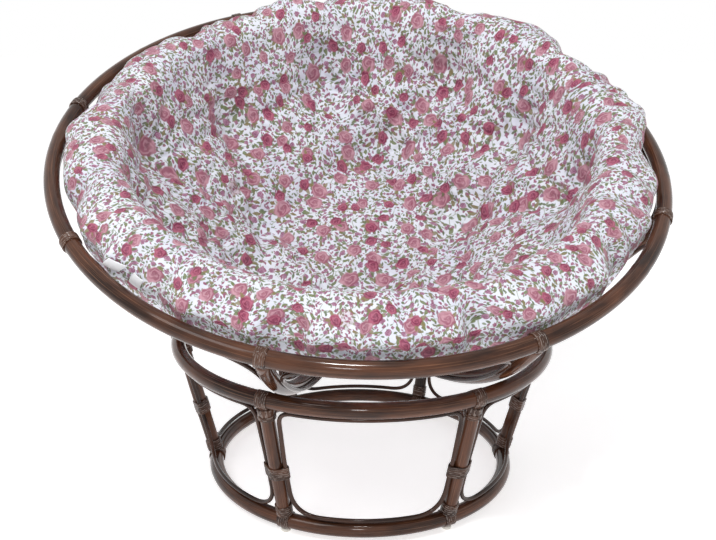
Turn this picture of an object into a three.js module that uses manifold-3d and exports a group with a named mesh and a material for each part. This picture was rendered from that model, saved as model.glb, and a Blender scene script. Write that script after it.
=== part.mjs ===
// Papasan chair: a round rattan bowl that rests in the top ring of a rattan base,
// with one thick tufted cushion lying in the bowl. Millimetres, +Z up, the bowl faces -Y.
// Everything of the bowl stays inside one sphere and everything of the base outside it,
// so the bowl can be tipped about the middle of that sphere without touching the base.
import * as THREE from 'three';
import { mergeVertices } from 'three/addons/utils/BufferGeometryUtils.js';
import Module from 'manifold-3d';

const wasm = await Module();
wasm.setup();

// Bowl
const BOWL_TILT_DEG = 24.8;
const RIM_RADIUS = 532.5; // to the centre of the rim pole
const RIM_DROP = 210.24; // from the middle of the bowl's sphere down to the rim's centre
const RIM_POLE_RADIUS = 14.3;
const BOTTOM_RING_RADIUS = 200;
const BOTTOM_POLE_RADIUS = 12;
const RIB_POLE_RADIUS = 13.5;
const RIB_AZIMUTHS_DEG = [-18.5, 25, 68, 113, 159, 206, 255, 298.5]; // set by hand, so not quite even
const RIM_WRAP_WIDTH = 17;
const RIM_WRAP_THICKNESS = 2.2;
const RIB_END_SHARE = 0.4; // of the rim pole's radius, left between a rib's end and the rim's centre

// Base
const TOP_RING_RADIUS = 323.5;
const TOP_RING_HEIGHT = 255.5;
const LOWER_RING_RADIUS = 263.5;
const RING_POLE_RADIUS = 13.6;
const POST_RADIUS = 12.5;
const POST_COUNT = 6;
const POST_START_DEG = -31.5;
const POST_END_SHARE = 0.4; // of the top ring's pole radius, left between a post's end and the ring's centre
const GLIDE_RADIUS = 8;
const GLIDE_THICKNESS = 4.5;

// Bindings of the base
const TOP_WRAP_WIDTH = 19;
const FOOT_WRAP_WIDTH = 20;
const WRAP_THICKNESS = 2.2;
const COLLAR_LENGTH = 8;
const COLLAR_DROP = 34; // from the top ring's centre to the collar's lower end, along the post
const FOOT_COLLAR_RISE = 30; // from the lower ring's centre to the upper end of the foot's wrap
const COLLAR_THICKNESS = 2.4;
const THROAT_THICKNESS = 1.4;
const MID_WRAP_HEIGHT = 121;
const MID_WRAP_LENGTH = 22;
const MID_WRAP_THICKNESS = 1.8;
const STRANDS = 3; // of the bindings that show ridges
const WRAP_GROOVE = 0.8; // depth of the furrow between two strands

// Thin rods bent into a loop in each bay
const ROD_RADIUS = 4;
const BASE_TOP_CORNER = 24;
const BASE_LOW_CORNER = 46;
const BASE_TOP_SPREAD = 4; // the rod stands this much further from the post under the top ring
const BOWL_TOP_CORNER = 78;
const BOWL_LOW_CORNER = 36;
const RUN_EASE = 0.9; // room for the straight facets of a rod outside a ring

// Cushion
const CUSHION_THICKNESS = 108;
const EDGE_GAP = 10; // between the rim pole and the cushion's edge
const EDGE_HALF_WIDTH = 52;
const EDGE_HALF_HEIGHT = 56;
const EDGE_RISE = 12; // of the edge roll's middle above the rim's centre
const EDGE_FRONT_DROP = 12; // how much lower the edge roll's crest is at the front
const FRONT_LIFT = 22; // how far the front of the underside stands off the ribs
const FRONT_LIFT_POLAR_DEG = 46;
const FRONT_LIFT_SPREAD = 220;
const TUFT_DEPTH = 34;
const TUFT_SPREAD = 50;
const CREASE_DEPTH = 14;
const CREASE_FLOOR = 12; // half width of a crease's bottom
const CREASE_FALL = 24; // how soon the cushion rises beside it
const NEIGHBOUR_SHARE = 0.63; // of the top's radius: tufts closer than this have a crease between them
const RING_CREASE_SHARE = 0.4; // depth of the creases between outer tufts, of the others' depth
const NOTCH_MEAN = 17; // how far the outer creases draw the edge in, on average
const NOTCH_SWING = 7; // more than that at the back and less at the front
const NOTCH_WIDTH = 45;
const OUTER_TUFT_POLAR_DEG = 45; // tufts beyond this angle have a crease over the edge roll
const TUFTS = [ // polar angle and azimuth in degrees, and share of the tuft depth; sewn by eye, so uneven
  [13.2, 5.6, 0.8], [23.7, -116.5, 1], [25.6, -68, 0.8], [29.9, 38, 0.9], [27.4, 107, 1], [34, 166, 0.9],
  [30, -20, 0.6], [46.5, -137, 1], [51.1, -172, 1], [54.5, -101, 1], [55, 150, 1], [50.5, 120, 1],
  [53.5, 86, 1], [52.5, 50, 0.9], [52, 17, 0.9], [52, -15, 0.9], [52, -43, 0.9], [53, -72, 0.9],
];
const EDGE_START_DEG = -32; // where the edge roll's section begins, counted up from outward
const EDGE_STEP_DEG = 40;
const TOP_POLAR_DEG = 60; // outermost row of the top
const UNDER_EDGE_SHARE = 0.4; // of the notches, at the underside's last row
const EDGE_TUFT_SHARES = [0, 0, 0, 0.25, 0.5, 0.75]; // of the tufts' depth, row by row over the edge roll

// Clearances
const GAP = 0.3;
const SEAT_GAP = 0.3; // between the bowl's sphere and the base's top ring
const CUSHION_CLEARANCE = 1;

// Facets
const RIM_SIDES = 10;
const POLE_SIDES = 8;
const ROD_SIDES = 5;
const RING_STEPS = { rim: 60, top: 48, lower: 40, bottom: 36 };
const MID_WRAP_SIDES = 20;
const DISH_STEPS = 72;
const DISH_SHARES = [-1, -0.5, 0, 0.5, 1]; // rows of the dish, of its reach from the top ring
const DISH_REACH = 3; // pole radii of the top ring
const RIB_STEPS = 7;
const CORNER_STEPS = 3;
const UNDER_ROWS = 3;
const TOP_ROWS = 10;
const CUSHION_STEPS = 60;

const DEG = Math.PI / 180;
const UP = new THREE.Vector3(0, 1, 0);

// Horizontal unit vector at an azimuth counted from the front (-Y) towards +X.
function outward(azimuth) {
  return new THREE.Vector3(Math.sin(azimuth), -Math.cos(azimuth), 0);
}

// Horizontal unit vector along a ring at an azimuth.
function along(azimuth) {
  return new THREE.Vector3(Math.cos(azimuth), Math.sin(azimuth), 0);
}

// Keeps positions only, joins shared vertices, drops collapsed triangles and turns all faces out.
function welded(geometry) {
  const bare = new THREE.BufferGeometry();
  bare.setAttribute('position', geometry.getAttribute('position').clone());
  if (geometry.index) bare.setIndex(geometry.index.clone());
  const merged = mergeVertices(bare);
  const at = (i) => new THREE.Vector3().fromBufferAttribute(merged.attributes.position, i);
  const corners = Array.from(merged.index.array);
  const kept = [];
  let volume = 0;
  for (let i = 0; i < corners.length; i += 3) {
    const [a, b, c] = corners.slice(i, i + 3);
    if (a === b || b === c || c === a) continue;
    kept.push([a, b, c]);
    volume += at(a).dot(at(b).cross(at(c)));
  }
  merged.setIndex(kept.flatMap(([a, b, c]) => (volume < 0 ? [a, c, b] : [a, b, c])));
  return merged;
}

function solid(geometry) {
  const body = welded(geometry);
  return new wasm.Manifold(new wasm.Mesh({
    numProp: 3,
    vertProperties: new Float32Array(body.attributes.position.array),
    triVerts: new Uint32Array(body.index.array),
  }));
}

function surface(body) {
  const mesh = body.getMesh();
  const geometry = new THREE.BufferGeometry();
  geometry.setAttribute('position', new THREE.BufferAttribute(new Float32Array(mesh.vertProperties), 3));
  geometry.setIndex(new THREE.BufferAttribute(new Uint32Array(mesh.triVerts), 1));
  return geometry;
}

// First solid with the others taken out of it.
function cut(body, cutters) {
  return cutters.reduce((left, cutter) => left.subtract(cutter), body);
}

// Moves a shape made about the Y axis so that its axis points along a direction through a point.
function placed(geometry, point, direction) {
  const turn = new THREE.Quaternion().setFromUnitVectors(UP, direction.clone().normalize());
  return geometry.applyQuaternion(turn).translate(point.x, point.y, point.z);
}

function ring(radius, height, poleRadius, steps, sides = POLE_SIDES) {
  return new THREE.TorusGeometry(radius, poleRadius, sides, steps).translate(0, 0, height);
}

// Open pole of constant thickness along a curve.
function pole(curve, radius, steps) {
  const section = new THREE.Shape();
  section.setFromPoints(Array.from({ length: POLE_SIDES }, (_, i) => {
    const angle = (i / POLE_SIDES) * 2 * Math.PI;
    return new THREE.Vector2(radius * Math.cos(angle), radius * Math.sin(angle));
  }));
  return new THREE.ExtrudeGeometry(section, { steps, bevelEnabled: false, extrudePath: curve });
}

// Closed rod through a loop of places; each place has a point and the surface's normal there.
function closedRod(places, radius) {
  const count = places.length;
  const positions = [];
  const index = [];
  places.forEach(({ point, normal }, i) => {
    const before = places[(i + count - 1) % count].point;
    const after = places[(i + 1) % count].point;
    const side = after.clone().sub(before).normalize().cross(normal).normalize();
    for (let j = 0; j < ROD_SIDES; j += 1) {
      const angle = (j / ROD_SIDES) * 2 * Math.PI;
      const spoke = normal.clone().multiplyScalar(Math.cos(angle)).addScaledVector(side, Math.sin(angle));
      positions.push(...point.clone().addScaledVector(spoke, radius).toArray());
      const a = i * ROD_SIDES + j;
      const b = i * ROD_SIDES + ((j + 1) % ROD_SIDES);
      const c = ((i + 1) % count) * ROD_SIDES + j;
      const d = ((i + 1) % count) * ROD_SIDES + ((j + 1) % ROD_SIDES);
      index.push(a, b, c, b, d, c);
    }
  });
  const geometry = new THREE.BufferGeometry();
  geometry.setAttribute('position', new THREE.Float32BufferAttribute(positions, 3));
  geometry.setIndex(index);
  return geometry;
}

// Solid drum about the Y axis whose wall has one ridge for each strand of a binding.
function strandDrum(radius, width, strands, sides = POLE_SIDES) {
  const profile = [new THREE.Vector2(0, -width / 2)];
  for (let i = 0; i <= strands; i += 1) {
    profile.push(new THREE.Vector2(radius - WRAP_GROOVE, -width / 2 + (i * width) / strands));
    if (i < strands) profile.push(new THREE.Vector2(radius, -width / 2 + ((i + 0.5) * width) / strands));
  }
  profile.push(new THREE.Vector2(0, width / 2));
  return new THREE.LatheGeometry(profile, sides);
}

// Points of a rounded bay in flat coordinates: across (from the bay's middle) and up (from low to high).
// Corners are quadratic curves, so they leave the run and the slanting side smoothly.
function bayOutline({ low, high, lowCorner, highCorner, halfWidth, sideStops, lowSteps, highSteps }) {
  const corner = (from, tip, to) => {
    const curve = new THREE.QuadraticBezierCurve(from, tip, to);
    return curve.getPoints(CORNER_STEPS);
  };
  const spot = (across, up) => new THREE.Vector2(across, up);
  const lowEnd = halfWidth(low) - lowCorner;
  const highEnd = halfWidth(high) - highCorner;
  const right = [];
  for (let i = 0; i < lowSteps; i += 1) right.push(spot((lowEnd * i) / lowSteps, low));
  const lowTop = low + lowCorner;
  const highBottom = high - highCorner;
  right.push(...corner(spot(lowEnd, low), spot(halfWidth(low), low), spot(halfWidth(lowTop), lowTop)));
  sideStops.forEach((up) => right.push(spot(halfWidth(up), up)));
  const sideEnd = spot(halfWidth(highBottom), highBottom);
  right.push(...corner(sideEnd, spot(halfWidth(high), high), spot(highEnd, high)));
  for (let i = highSteps - 1; i >= 0; i -= 1) right.push(spot((highEnd * i) / highSteps, high));
  const left = right.slice(1, -1).reverse().map((p) => spot(-p.x, p.y));
  return [...right, ...left];
}

// Sets a drum round the pole of a level ring, with its flats parallel to the flats of that pole.
function onRing(drum, azimuth, ringRadius, height) {
  const down = new THREE.Vector3(0, 0, -1);
  const frame = new THREE.Matrix4().makeBasis(down, along(azimuth), outward(azimuth));
  return drum.applyMatrix4(frame.setPosition(outward(azimuth).multiplyScalar(ringRadius).setZ(height)));
}

const materials = {
  rattan: () => new THREE.MeshStandardMaterial({ color: 0x4a2a1e, roughness: 0.32, metalness: 0 }),
  binding: () => new THREE.MeshStandardMaterial({ color: 0x5c4034, roughness: 0.42, metalness: 0 }),
  glide: () => new THREE.MeshStandardMaterial({ color: 0xd8d4cc, roughness: 0.5, metalness: 0 }),
  fabric: () => new THREE.MeshStandardMaterial({ color: 0xe6d3d8, roughness: 0.9, metalness: 0 }),
};

function node(name, geometry, material) {
  geometry.computeVertexNormals();
  const mesh = new THREE.Mesh(geometry, material);
  mesh.name = name;
  return mesh;
}

// Sphere that the underside of the bowl follows, about the bowl's middle.
const rimReach = Math.hypot(RIM_RADIUS, RIM_DROP);
const seatRadius = rimReach + RIM_POLE_RADIUS + RIM_WRAP_THICKNESS;

// Base, built about its own upright axis with the floor at zero.
const lowerRingHeight = GLIDE_THICKNESS + WRAP_THICKNESS + RING_POLE_RADIUS;
const postAzimuths = Array.from({ length: POST_COUNT }, (_, k) => (
  POST_START_DEG * DEG + (k * 2 * Math.PI) / POST_COUNT
));
const coneSlope = (TOP_RING_RADIUS - LOWER_RING_RADIUS) / (TOP_RING_HEIGHT - lowerRingHeight);
const coneRadius = (height) => LOWER_RING_RADIUS + coneSlope * (height - lowerRingHeight);
const conePoint = (azimuth, height) => outward(azimuth).multiplyScalar(coneRadius(height)).setZ(height);

// The middle of the bowl's sphere stands over the base so that the sphere rests in the top ring.
const seatReach = seatRadius + SEAT_GAP + RING_POLE_RADIUS;
const sphereHeight = TOP_RING_HEIGHT + Math.sqrt(seatReach ** 2 - TOP_RING_RADIUS ** 2);

function sphereClearance() {
  const radius = seatRadius + SEAT_GAP;
  const middle = Math.asin(TOP_RING_RADIUS / seatReach);
  const spread = (DISH_REACH * RING_POLE_RADIUS) / radius;
  const wall = DISH_SHARES.map((share) => {
    const angle = middle + spread * share;
    return new THREE.Vector2(radius * Math.sin(angle), radius - radius * Math.cos(angle));
  });
  const onAxis = (point) => new THREE.Vector2(0, point.y);
  const profile = [onAxis(wall[0]), ...wall, onAxis(wall[wall.length - 1])];
  const dish = new THREE.LatheGeometry(profile, DISH_STEPS);
  return dish.rotateX(Math.PI / 2).translate(0, 0, sphereHeight - radius);
}

const topRingClear = solid(ring(TOP_RING_RADIUS, TOP_RING_HEIGHT, RING_POLE_RADIUS + GAP, RING_STEPS.top));
const lowerRingClear = solid(ring(LOWER_RING_RADIUS, lowerRingHeight, RING_POLE_RADIUS + GAP, RING_STEPS.lower));
const bowlClear = solid(sphereClearance());

function baseBay(middle, halfAngle) {
  const low = lowerRingHeight + RING_POLE_RADIUS + ROD_RADIUS + GAP;
  const high = TOP_RING_HEIGHT - RING_POLE_RADIUS - ROD_RADIUS - GAP;
  const straightTop = MID_WRAP_HEIGHT + MID_WRAP_LENGTH;
  const offset = (up) => {
    const above = Math.max(0, up - straightTop) / (high - straightTop);
    return POST_RADIUS + ROD_RADIUS + GAP + BASE_TOP_SPREAD * above;
  };
  const outline = bayOutline({
    low,
    high,
    lowCorner: BASE_LOW_CORNER,
    highCorner: BASE_TOP_CORNER,
    halfWidth: (up) => coneRadius(up) * halfAngle - offset(up),
    sideStops: [straightTop],
    lowSteps: 2,
    highSteps: 2,
  });
  const slant = Math.atan(coneSlope);
  return outline.map(({ x, y }) => {
    const azimuth = middle + x / coneRadius(y);
    const normal = outward(azimuth).multiplyScalar(Math.cos(slant)).setZ(-Math.sin(slant));
    return { point: conePoint(azimuth, y), normal };
  });
}

// Turned solid on the line of a post. Each stop has a distance above the lower ring's centre and a radius.
function turnedOnPost(azimuth, stops) {
  const foot = conePoint(azimuth, lowerRingHeight);
  const axis = conePoint(azimuth, TOP_RING_HEIGHT).sub(foot);
  const profile = stops.map(([rise, radius]) => new THREE.Vector2(radius, rise));
  const onAxis = (point) => new THREE.Vector2(0, point.y);
  const ends = [onAxis(profile[0]), ...profile, onAxis(profile[profile.length - 1])];
  return placed(new THREE.LatheGeometry(ends, POLE_SIDES), foot, axis);
}

// Band pulled tight over the post and the rod on each side of it, with the room for them left open.
function midWrap(azimuth) {
  const centre = conePoint(azimuth, MID_WRAP_HEIGHT);
  const upward = conePoint(azimuth, TOP_RING_HEIGHT).sub(conePoint(azimuth, lowerRingHeight)).normalize();
  const across = along(azimuth);
  const depth = upward.clone().cross(across);
  const rodTurn = (POST_RADIUS + ROD_RADIUS + GAP) / coneRadius(MID_WRAP_HEIGHT);
  const rounds = [-rodTurn, 0, rodTurn].map((turn) => {
    const from = conePoint(azimuth + turn, MID_WRAP_HEIGHT).sub(centre);
    return { x: from.dot(across), y: from.dot(depth), radius: turn === 0 ? POST_RADIUS : ROD_RADIUS };
  });
  const hull = (reach) => Array.from({ length: MID_WRAP_SIDES }, (_, i) => {
    const angle = ((i + 0.5) / MID_WRAP_SIDES) * 2 * Math.PI;
    const support = (round) => round.x * Math.cos(angle) + round.y * Math.sin(angle) + round.radius;
    const far = rounds.reduce((best, round) => (support(round) > support(best) ? round : best));
    const spoke = (far.radius + reach) / Math.cos(Math.PI / MID_WRAP_SIDES);
    return new THREE.Vector2(far.x + spoke * Math.cos(angle), far.y + spoke * Math.sin(angle));
  });
  const outline = new THREE.Shape(hull(GAP + MID_WRAP_THICKNESS));
  outline.holes.push(new THREE.Path(hull(GAP)));
  const band = new THREE.ExtrudeGeometry(outline, { depth: MID_WRAP_LENGTH, bevelEnabled: false });
  band.translate(0, 0, -MID_WRAP_LENGTH / 2);
  const frame = new THREE.Matrix4().makeBasis(across, depth, upward);
  return band.applyMatrix4(frame.setPosition(centre));
}

function buildBase() {
  const base = new THREE.Group();
  const topRing = ring(TOP_RING_RADIUS, TOP_RING_HEIGHT, RING_POLE_RADIUS, RING_STEPS.top);
  const lowerRing = ring(LOWER_RING_RADIUS, lowerRingHeight, RING_POLE_RADIUS, RING_STEPS.lower);
  base.add(node('base_top_ring', welded(topRing), materials.rattan()));
  base.add(node('base_lower_ring', welded(lowerRing), materials.rattan()));

  const halfAngle = Math.PI / POST_COUNT;
  const postLength = conePoint(0, TOP_RING_HEIGHT).distanceTo(conePoint(0, lowerRingHeight));
  const postEnd = postLength - RING_POLE_RADIUS * POST_END_SHARE;

  postAzimuths.forEach((azimuth, k) => {
    const number = k + 1;
    const rawPost = solid(turnedOnPost(azimuth, [
      [0, POST_RADIUS + COLLAR_THICKNESS],
      [FOOT_COLLAR_RISE, POST_RADIUS + COLLAR_THICKNESS],
      [FOOT_COLLAR_RISE + COLLAR_THICKNESS, POST_RADIUS],
      [postEnd, POST_RADIUS],
    ]));
    const footDrum = solid(onRing(
      strandDrum(RING_POLE_RADIUS + WRAP_THICKNESS, FOOT_WRAP_WIDTH, STRANDS),
      azimuth, LOWER_RING_RADIUS, lowerRingHeight,
    ));
    const post = cut(rawPost.add(footDrum), [topRingClear, lowerRingClear]);
    base.add(node(`base_post_${number}`, surface(post), materials.rattan()));
    const bay = baseBay(azimuth + halfAngle, halfAngle);
    base.add(node(`base_bay_rod_${number}`, welded(closedRod(bay, ROD_RADIUS)), materials.rattan()));

    const saddle = solid(onRing(
      strandDrum(RING_POLE_RADIUS + WRAP_THICKNESS, TOP_WRAP_WIDTH, STRANDS),
      azimuth, TOP_RING_RADIUS, TOP_RING_HEIGHT,
    ));
    const collar = solid(turnedOnPost(azimuth, [
      [postLength - COLLAR_DROP, POST_RADIUS + COLLAR_THICKNESS],
      [postLength - COLLAR_DROP + COLLAR_LENGTH, POST_RADIUS + COLLAR_THICKNESS],
      [postLength - COLLAR_DROP + COLLAR_LENGTH + COLLAR_THICKNESS, POST_RADIUS + THROAT_THICKNESS],
      [postLength, POST_RADIUS + THROAT_THICKNESS],
    ]));
    const postRoom = solid(turnedOnPost(azimuth, [[0, POST_RADIUS + GAP], [postLength, POST_RADIUS + GAP]]));
    const wrap = cut(saddle.add(collar), [topRingClear, postRoom, bowlClear]);
    base.add(node(`base_top_binding_${number}`, surface(wrap), materials.binding()));
    base.add(node(`base_mid_binding_${number}`, welded(midWrap(azimuth)), materials.binding()));

    const foot = outward(azimuth).multiplyScalar(LOWER_RING_RADIUS);
    const rawGlide = new THREE.CylinderGeometry(GLIDE_RADIUS, GLIDE_RADIUS, lowerRingHeight, POLE_SIDES);
    const drumRoom = RING_POLE_RADIUS + WRAP_THICKNESS + GAP;
    const drumClear = solid(onRing(
      new THREE.CylinderGeometry(drumRoom, drumRoom, FOOT_WRAP_WIDTH + 2 * GAP, POLE_SIDES),
      azimuth, LOWER_RING_RADIUS, lowerRingHeight,
    ));
    const glideBody = solid(placed(rawGlide, foot.setZ(lowerRingHeight / 2), new THREE.Vector3(0, 0, 1)));
    const glide = glideBody.subtract(drumClear).subtract(lowerRingClear);
    base.add(node(`foot_glide_${number}`, surface(glide), materials.glide()));
  });
  return base;
}

// Bowl, built about the middle of its sphere with its own axis upright.
const rimHeight = -RIM_DROP;
const bottomReach = seatRadius - BOTTOM_POLE_RADIUS;
const bottomHeight = -Math.sqrt(bottomReach ** 2 - BOTTOM_RING_RADIUS ** 2);
const ribReach = seatRadius - RIB_POLE_RADIUS;
const ribAzimuths = RIB_AZIMUTHS_DEG.map((angle) => angle * DEG);

// Point on a sphere about the bowl's middle; the polar angle is counted from straight down.
function spherePoint(radius, polar, azimuth) {
  return outward(azimuth).multiplyScalar(radius * Math.sin(polar)).setZ(-radius * Math.cos(polar));
}

// Great circle from the bottom ring up to the rim.
class RibArc extends THREE.Curve {
  constructor(azimuth, from, to) {
    super();
    this.azimuth = azimuth;
    this.from = from;
    this.to = to;
  }

  getPoint(t) {
    return spherePoint(ribReach, this.from + (this.to - this.from) * t, this.azimuth);
  }
}

const rimClear = solid(ring(RIM_RADIUS, rimHeight, RIM_POLE_RADIUS + GAP, RING_STEPS.rim, RIM_SIDES));
const bottomClear = solid(ring(BOTTOM_RING_RADIUS, bottomHeight, BOTTOM_POLE_RADIUS + GAP, RING_STEPS.bottom));
const rimPolar = Math.asin(RIM_RADIUS / rimReach);
const bottomPolar = Math.asin(BOTTOM_RING_RADIUS / bottomReach);

function bowlBay(middle, halfAngle) {
  const low = ribReach * bottomPolar + BOTTOM_POLE_RADIUS + ROD_RADIUS + GAP + RUN_EASE;
  const high = ribReach * rimPolar - RIM_POLE_RADIUS - ROD_RADIUS - GAP - RUN_EASE;
  const offset = RIB_POLE_RADIUS + ROD_RADIUS + GAP;
  const from = low + BOWL_LOW_CORNER;
  const to = high - BOWL_TOP_CORNER;
  const outline = bayOutline({
    low,
    high,
    lowCorner: BOWL_LOW_CORNER,
    highCorner: BOWL_TOP_CORNER,
    halfWidth: (up) => ribReach * Math.sin(up / ribReach) * halfAngle - offset,
    sideStops: [1, 2].map((i) => from + ((to - from) * i) / 3),
    lowSteps: 1,
    highSteps: 3,
  });
  return outline.map(({ x, y }) => {
    const polar = y / ribReach;
    const azimuth = middle + x / (ribReach * Math.sin(polar));
    const point = spherePoint(ribReach, polar, azimuth);
    return { point, normal: point.clone().normalize() };
  });
}

function buildBowl() {
  const bowl = new THREE.Group();
  const rim = ring(RIM_RADIUS, rimHeight, RIM_POLE_RADIUS, RING_STEPS.rim, RIM_SIDES);
  const bottom = ring(BOTTOM_RING_RADIUS, bottomHeight, BOTTOM_POLE_RADIUS, RING_STEPS.bottom);
  bowl.add(node('bowl_rim', welded(rim), materials.rattan()));
  bowl.add(node('bowl_bottom_ring', welded(bottom), materials.rattan()));

  ribAzimuths.forEach((azimuth, k) => {
    const number = k + 1;
    const drum = strandDrum(RIM_POLE_RADIUS + RIM_WRAP_THICKNESS, RIM_WRAP_WIDTH, STRANDS, RIM_SIDES);
    const drumRoom = RIM_POLE_RADIUS + RIM_WRAP_THICKNESS + GAP;
    const drumClear = new THREE.CylinderGeometry(drumRoom, drumRoom, RIM_WRAP_WIDTH + 2 * GAP, RIM_SIDES);
    const binding = solid(onRing(drum, azimuth, RIM_RADIUS, rimHeight)).subtract(rimClear);
    const arc = new RibArc(azimuth, bottomPolar, rimPolar - (RIM_POLE_RADIUS * RIB_END_SHARE) / ribReach);
    const rib = cut(solid(pole(arc, RIB_POLE_RADIUS, RIB_STEPS)), [
      rimClear, bottomClear, solid(onRing(drumClear, azimuth, RIM_RADIUS, rimHeight)),
    ]);
    bowl.add(node(`bowl_rib_${number}`, surface(rib), materials.rattan()));
    bowl.add(node(`rim_binding_${number}`, surface(binding), materials.binding()));

    const next = k + 1 < ribAzimuths.length ? ribAzimuths[k + 1] : ribAzimuths[0] + 2 * Math.PI;
    const bay = bowlBay((azimuth + next) / 2, (next - azimuth) / 2);
    bowl.add(node(`bowl_bay_rod_${number}`, welded(closedRod(bay, ROD_RADIUS)), materials.rattan()));
  });
  return bowl;
}

// Cushion in the bowl's frame. Its half section goes round from the middle of the underside,
// over the edge roll, to the middle of the top.
function cushionSection() {
  const under = seatRadius - 2 * RIB_POLE_RADIUS - CUSHION_CLEARANCE;
  const over = under - CUSHION_THICKNESS;
  const edgeMiddle = new THREE.Vector2(
    RIM_RADIUS - RIM_POLE_RADIUS - EDGE_GAP - EDGE_HALF_WIDTH, rimHeight + EDGE_RISE,
  );
  const lowPolar = Math.asin((edgeMiddle.x + EDGE_HALF_WIDTH / 2) / under);
  const section = [];
  for (let i = 1; i <= UNDER_ROWS; i += 1) {
    const edge = i === UNDER_ROWS ? UNDER_EDGE_SHARE : 0;
    section.push({ radius: under, polar: (lowPolar * i) / UNDER_ROWS, top: 0, edge, crest: 0 });
  }
  EDGE_TUFT_SHARES.forEach((top, i) => {
    const angle = (EDGE_START_DEG + i * EDGE_STEP_DEG) * DEG;
    const x = edgeMiddle.x + EDGE_HALF_WIDTH * Math.cos(angle);
    const y = edgeMiddle.y + EDGE_HALF_HEIGHT * Math.sin(angle);
    const crest = Math.max(0, Math.sin(angle));
    section.push({ radius: Math.hypot(x, y), polar: Math.atan2(x, -y), top, edge: 1, crest });
  });
  for (let i = 0; i < TOP_ROWS; i += 1) {
    const polar = TOP_POLAR_DEG * DEG * (1 - i / TOP_ROWS);
    section.push({ radius: over, polar, top: 1, edge: 0, crest: 0 });
  }
  return { under, over, edgeMiddle, section };
}

// Lines along which the cover is drawn in: between neighbouring tufts and from the outer tufts over the edge.
function creaseLines(spots, over, edgeMiddle) {
  const rollPolar = Math.atan2(edgeMiddle.x, -edgeMiddle.y - EDGE_HALF_HEIGHT);
  const isOuter = (i) => TUFTS[i][0] > OUTER_TUFT_POLAR_DEG;
  const creases = [];
  spots.forEach((from, i) => {
    for (let j = i + 1; j < spots.length; j += 1) {
      const share = isOuter(i) && isOuter(j) ? RING_CREASE_SHARE : 1;
      if (from.distanceTo(spots[j]) < NEIGHBOUR_SHARE * over) {
        creases.push({ line: new THREE.Line3(from, spots[j]), share });
      }
    }
    const edge = spherePoint(over, rollPolar, TUFTS[i][1] * DEG);
    if (isOuter(i)) creases.push({ line: new THREE.Line3(from, edge), share: 1 });
  });
  return creases;
}

// How far the outer creases draw the edge in at an azimuth.
function notch(azimuth, edgeRadius) {
  return TUFTS.filter(([polar]) => polar > OUTER_TUFT_POLAR_DEG).reduce((sum, [, degrees]) => {
    const apart = 2 * edgeRadius * Math.sin((azimuth - degrees * DEG) / 2);
    const depth = NOTCH_MEAN - NOTCH_SWING * Math.cos(degrees * DEG);
    return sum + depth * Math.exp(-((apart / NOTCH_WIDTH) ** 2));
  }, 0);
}

function buildCushion() {
  const { under, over, edgeMiddle, section } = cushionSection();
  const spots = TUFTS.map(([polar, azimuth]) => spherePoint(over, polar * DEG, azimuth * DEG));
  const creases = creaseLines(spots, over, edgeMiddle);
  const near = new THREE.Vector3();
  const dip = (point) => {
    const dimples = spots.map((spot, i) => {
      const reach = point.distanceTo(spot) / TUFT_SPREAD;
      return TUFT_DEPTH * TUFTS[i][2] * Math.exp(-reach * reach);
    });
    const furrows = creases.map(({ line, share }) => {
      const beside = Math.max(0, line.closestPointToPoint(point, true, near).distanceTo(point) - CREASE_FLOOR);
      return CREASE_DEPTH * share * Math.exp(-beside / CREASE_FALL);
    });
    return Math.max(...dimples) + Math.max(...furrows);
  };
  const liftMiddle = spherePoint(under, FRONT_LIFT_POLAR_DEG * DEG, 0);
  const lift = (point) => FRONT_LIFT * Math.exp(-((point.distanceTo(liftMiddle) / FRONT_LIFT_SPREAD) ** 2));
  const around = CUSHION_STEPS;
  const positions = [0, 0, -under];
  section.forEach(({ radius, polar, top, edge, crest }) => {
    for (let j = 0; j < around; j += 1) {
      const azimuth = (j / around) * 2 * Math.PI;
      const drawn = top * dip(spherePoint(over, polar, azimuth));
      const raised = (1 - Math.min(1, top + edge)) * lift(spherePoint(under, polar, azimuth));
      const depth = radius + drawn - raised;
      const point = spherePoint(depth, polar, azimuth);
      point.addScaledVector(outward(azimuth), -edge * notch(azimuth, edgeMiddle.x + EDGE_HALF_WIDTH));
      point.z -= crest * EDGE_FRONT_DROP * Math.max(0, Math.cos(azimuth)) ** 2;
      positions.push(...point.toArray());
    }
  });
  positions.push(0, 0, -over - dip(spherePoint(over, 0, 0)));
  const rows = section.length;
  const last = rows * around + 1;
  const index = [];
  for (let j = 0; j < around; j += 1) {
    const next = (j + 1) % around;
    index.push(0, 1 + next, 1 + j);
    for (let i = 0; i < rows - 1; i += 1) {
      const a = 1 + i * around + j;
      const b = 1 + i * around + next;
      index.push(a, b, a + around, b, b + around, a + around);
    }
    index.push(1 + (rows - 1) * around + j, 1 + (rows - 1) * around + next, last);
  }
  const geometry = new THREE.BufferGeometry();
  geometry.setAttribute('position', new THREE.Float32BufferAttribute(positions, 3));
  geometry.setIndex(index);
  return node('seat_cushion', welded(geometry), materials.fabric());
}

const base = buildBase();
const bowl = buildBowl();
bowl.add(buildCushion());
bowl.position.set(0, 0, sphereHeight);
bowl.rotation.x = BOWL_TILT_DEG * DEG;

// The whole chair is set with the middle of its footprint box at the origin.
const chair = new THREE.Group();
chair.add(base);
chair.add(bowl);
chair.updateMatrixWorld(true);
const box = new THREE.Box3().setFromObject(chair, true);
const middle = box.getCenter(new THREE.Vector3());
chair.position.set(-middle.x, -middle.y, -box.min.z);

export default chair;
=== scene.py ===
"""Looks of the papasan chair: rattan poles, wound bindings, bent rods and a tufted rose-print cushion."""

import logging
import math
from dataclasses import dataclass
from enum import Enum, IntEnum
from typing import Any, Callable, ClassVar

import bmesh
import bpy
import numpy as np
from mathutils import Matrix, Vector
from mathutils.bvhtree import BVHTree


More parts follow.
